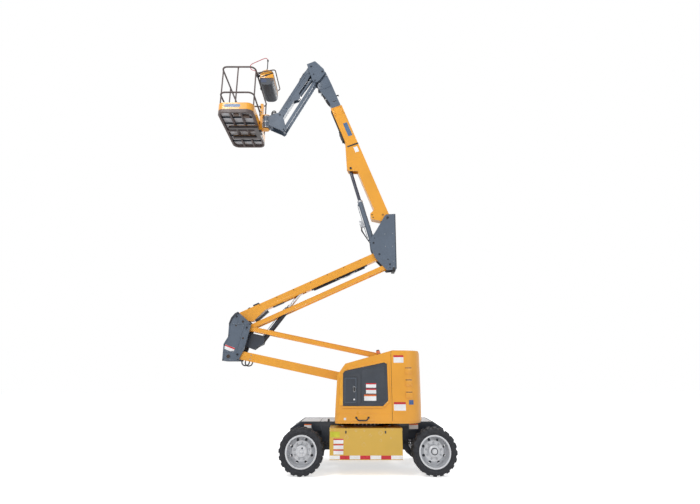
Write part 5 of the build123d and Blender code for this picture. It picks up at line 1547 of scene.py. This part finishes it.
class BOOMLIFT_OT_basket(bpy.types.Operator):
    """Floor bars and sheet seen from below, rail fittings, console guard, post and strap"""
    bl_idname = "boomlift.basket"
    bl_label = "Basket"

    def execute(self, context):
        low, high = corner("platform_floor")
        centre = (low + high) / 2
        under = low.z + 0.0635
        sheets = []
        for x0, x1 in ((low.x + 0.045, centre.x - 0.127), (centre.x - 0.093, centre.x + 0.093),
                       (centre.x + 0.127, high.x - 0.045)):
            for y0, y1 in ((low.y + 0.045, centre.y - 0.022), (centre.y + 0.022, high.y - 0.045)):
                sheets.append(box("sheet", (x0, y0, under - 0.0015), (x1, y1, under), 0.0005, 1))
        fit(sheets, "floor_sheet", "open_mesh", "platform", "pale_deck")
        bars = [box("bar", (low.x + 0.03, y - 0.008, low.z + 0.020),
                    (high.x - 0.03, y + 0.008, low.z + 0.052), 0.002) for y in (-0.46, -0.24, 0.24, 0.46)]
        fit(bars, "floor_bars", "dark_steel", "platform")
        brown = [box("block", (-1.86, -0.640, low.z - 0.012), (-1.76, -0.560, low.z + 0.050), 0.010),
                 box("block", (-1.68, -0.560, low.z - 0.010), (-1.56, -0.500, low.z + 0.040), 0.008)]
        fit(brown, "foot_switch_box", "brown_paint", "platform", "dark_steel")
        # collars where the posts meet the rails and the floor
        rails_low, rails_high = corner("platform_rails")
        mid = Vector(((rails_low.x + rails_high.x) / 2, 0))
        half = Vector(((rails_high.x - rails_low.x) / 2 - 0.017, (rails_high.y - rails_low.y) / 2 - 0.017))
        posts = [(-half.x, -half.y + 0.110), (-half.x, 0), (-half.x, half.y - 0.110),
                 (half.x, -half.y + 0.110), (half.x, half.y - 0.110), (0, -half.y), (-0.250, half.y),
                 (0.250, half.y)]
        welds = []
        for x, y in posts:
            for z, radius in ((high.z + 0.002, 0.019), (rails_high.z - 0.050, 0.016)):
                welds.append(moved(lathe("weld", [(0.0138, 0), (radius, 0), (radius - 0.002, -0.010),
                                                  (0.0142, -0.014)], 16),
                                   turned((mid.x + x, y, z), -pi / 2, "X")))
        fit(welds, "post_welds", "rail_steel", "platform")
        # tube guard round the console, rising from the top rail
        rail_z = rails_high.z - 0.017
        start_x, end_x = rails_high.x - 0.017, -1.096
        rise = 0.088
        guard = hose("console_guard", [(start_x, -0.490, rail_z),
                                       (start_x + 0.10, -0.490, rail_z + rise * 0.27),
                                       (end_x - 0.12, -0.490, rail_z + rise * 0.70),
                                       (end_x, -0.490, rail_z + rise), (end_x, -0.380, rail_z + rise),
                                       (end_x, 0, rail_z + rise), (end_x, 0.080, rail_z + rise),
                                       (end_x, 0.190, rail_z + rise),
                                       (end_x - 0.12, 0.190, rail_z + rise * 0.70),
                                       (start_x + 0.10, 0.190, rail_z + rise * 0.27),
                                       (start_x, 0.190, rail_z)], 0.012, 10)
        fit([guard], "console_guard", "rail_steel", "platform")
        # post with its strap
        post = [hose("post", [(-1.470, -0.450, rail_z), (-1.380, -0.452, rail_z + 0.04),
                              (-1.270, -0.450, rail_z + 0.09), (-1.270, -0.450, rail_z + 0.24),
                              (-1.270, -0.450, 7.990)], 0.010)]
        knob = box("knob", (-1.286, -0.466, 7.975), (-1.254, -0.434, 8.020), 0.008)
        fit([*post, knob], "strap_post", "black_plastic", "platform")
        strap = hose("strap", [(-1.270, -0.450, 8.020), (-1.300, -0.450, 8.066), (-1.350, -0.448, 8.058),
                               (-1.500, -0.440, 7.985), (-1.630, -0.430, 7.925), (-1.655, -0.428, 7.860),
                               (-1.610, -0.430, 7.780), (-1.540, -0.440, 7.760), (-1.480, -0.448, 7.700),
                               (-1.478, -0.450, rail_z + 0.016)], 0.007)
        fit([strap], "red_strap", "red_strap", "platform", "dark_plastic")
        return {"FINISHED"}


class BOOMLIFT_OT_console(bpy.types.Operator):
    """Arched yellow hood, latch bar and knob, patches, levers and stop button of the platform console"""
    bl_idname = "boomlift.console"
    bl_label = "Platform console"

    def execute(self, context):
        low, high = corner("platform_console")
        right = high.x
        left = -1.415
        arch = [(left, 7.560), (left + 0.004, 7.655), (left + 0.030, 7.712), (left + 0.080, 7.750),
                (left + 0.140, 7.763), (right - 0.080, 7.750), (right - 0.030, 7.712), (right - 0.002, 7.655),
                (right + 0.002, 7.560), (right - 0.018, 7.560), (right - 0.020, 7.650),
                (right - 0.045, 7.697), (right - 0.090, 7.730), (left + 0.140, 7.742), (left + 0.092, 7.730),
                (left + 0.045, 7.697), (left + 0.022, 7.650), (left + 0.018, 7.560)]
        hood = prism("console_hood", arch, 0.606, -0.150, 0.003)
        end = prism("console_end", arch[:9], 0.006, low.y - 0.006, 0.002)
        fit([hood, end], "console_hood", "yellow_paint", "platform")
        bar = Member((left + 0.035, 0, 7.582), (right - 0.015, 0, 7.680))
        latch = [bar.slab("bar", (0, low.y - 0.019, -0.010), (bar.long, low.y - 0.009, 0.010), 0.003),
                 disc("knob", (left + right) / 2 - 0.010, 7.622, 0.020, low.y - 0.009, 0.016)]
        fit(latch, "console_latch", "black_plastic", "platform")
        navy = box("console_patch", (left + 0.020, low.y - 0.0016, 7.455), (left + 0.140, low.y, 7.550),
                   0.0007, 1)
        done(navy, FINISH["navy_patch"], "platform", "dark_plastic")
        brown = prism("console_side", [(right - 0.060, 7.480), (right - 0.004, 7.505), (right - 0.001, 7.556),
                                       (right - 0.060, 7.556)], 0.0016, low.y - 0.0008, 0.0005, 1)
        done(brown, FINISH["brown_paint"], "platform", "dark_plastic")
        # levers in boots and a stop button on the side that faces the worker
        bits = []
        for y in (-0.30, -0.16, -0.02):
            bits.append(hose("lever", [(left + 0.045, y, 7.735), (left + 0.030, y, 7.765),
                                       (left + 0.020, y, 7.800)], 0.007))
            bits.append(box("boot", (left + 0.015, y - 0.020, 7.700), (left + 0.070, y + 0.020, 7.748),
                            0.010))
        fit(bits, "console_levers", "black_plastic", "platform")
        stop = moved(lathe("stop_button", [(0, -0.030), (0.016, -0.029), (0.021, -0.022), (0.021, -0.014),
                                           (0.012, -0.012), (0.012, 0), (0, 0)], 28),
                     turned((left + 0.060, 0.090, 7.722), -pi / 2, "X"))
        done(stop, FINISH["blank_red"], "platform", "dark_plastic")
        # tabs and bolts of the platform's mount
        spots = [box("tab", (-1.472, y - 0.005, z), (-1.446, y + 0.005, z + 0.060), 0.003)
                 for y in (-0.062, 0.062) for z in (6.700, 6.900, 7.090)]
        fit(spots, "post_tabs", "dark_steel", "platform")
        bolts("post_bolts", [(-1.425, z, -0.060) for z in (6.960, 7.010, 7.060)], 0.008, "platform",
              "bolt_steel")
        return {"FINISHED"}


# ---- add-on ----
OPERATORS = [
    BOOMLIFT_OT_stage, BOOMLIFT_OT_finishes, BOOMLIFT_OT_tyres, BOOMLIFT_OT_hubs, BOOMLIFT_OT_side_boxes,
    BOOMLIFT_OT_deck, BOOMLIFT_OT_ring, BOOMLIFT_OT_covers, BOOMLIFT_OT_door, BOOMLIFT_OT_beacon,
    BOOMLIFT_OT_middle_knuckle, BOOMLIFT_OT_lower_pair, BOOMLIFT_OT_upper_pair, BOOMLIFT_OT_upper_knuckle,
    BOOMLIFT_OT_main_boom, BOOMLIFT_OT_fly_boom, BOOMLIFT_OT_cylinders, BOOMLIFT_OT_jib,
    BOOMLIFT_OT_toe_board,
    BOOMLIFT_OT_basket, BOOMLIFT_OT_console,
]


class BOOMLIFT_PT_panel(bpy.types.Panel):
    """Buttons for the boom lift's pieces"""
    bl_idname = "BOOMLIFT_PT_panel"
    bl_label = "Boom Lift"
    bl_space_type = "VIEW_3D"
    bl_region_type = "UI"
    bl_category = "Boom Lift"

    def draw(self, context):
        for group in (context.scene.lift_colours, context.scene.lift_sizes):
            for name in group.__annotations__:
                self.layout.prop(group, name)
        for operator in OPERATORS:
            self.layout.operator(operator.bl_idname)


CLASSES = [LiftColours, LiftSizes, *OPERATORS, BOOMLIFT_PT_panel]


def register():
    for item in CLASSES:
        bpy.utils.register_class(item)
    bpy.types.Scene.lift_colours = bpy.props.PointerProperty(type=LiftColours)
    bpy.types.Scene.lift_sizes = bpy.props.PointerProperty(type=LiftSizes)


def unregister():
    del bpy.types.Scene.lift_sizes
    del bpy.types.Scene.lift_colours
    for item in reversed(CLASSES):
        bpy.utils.unregister_class(item)


def main():
    register()
    for operator in OPERATORS:
        group, name = operator.bl_idname.split(".")
        getattr(getattr(bpy.ops, group), name)()


if __name__ == "__main__":
    main()
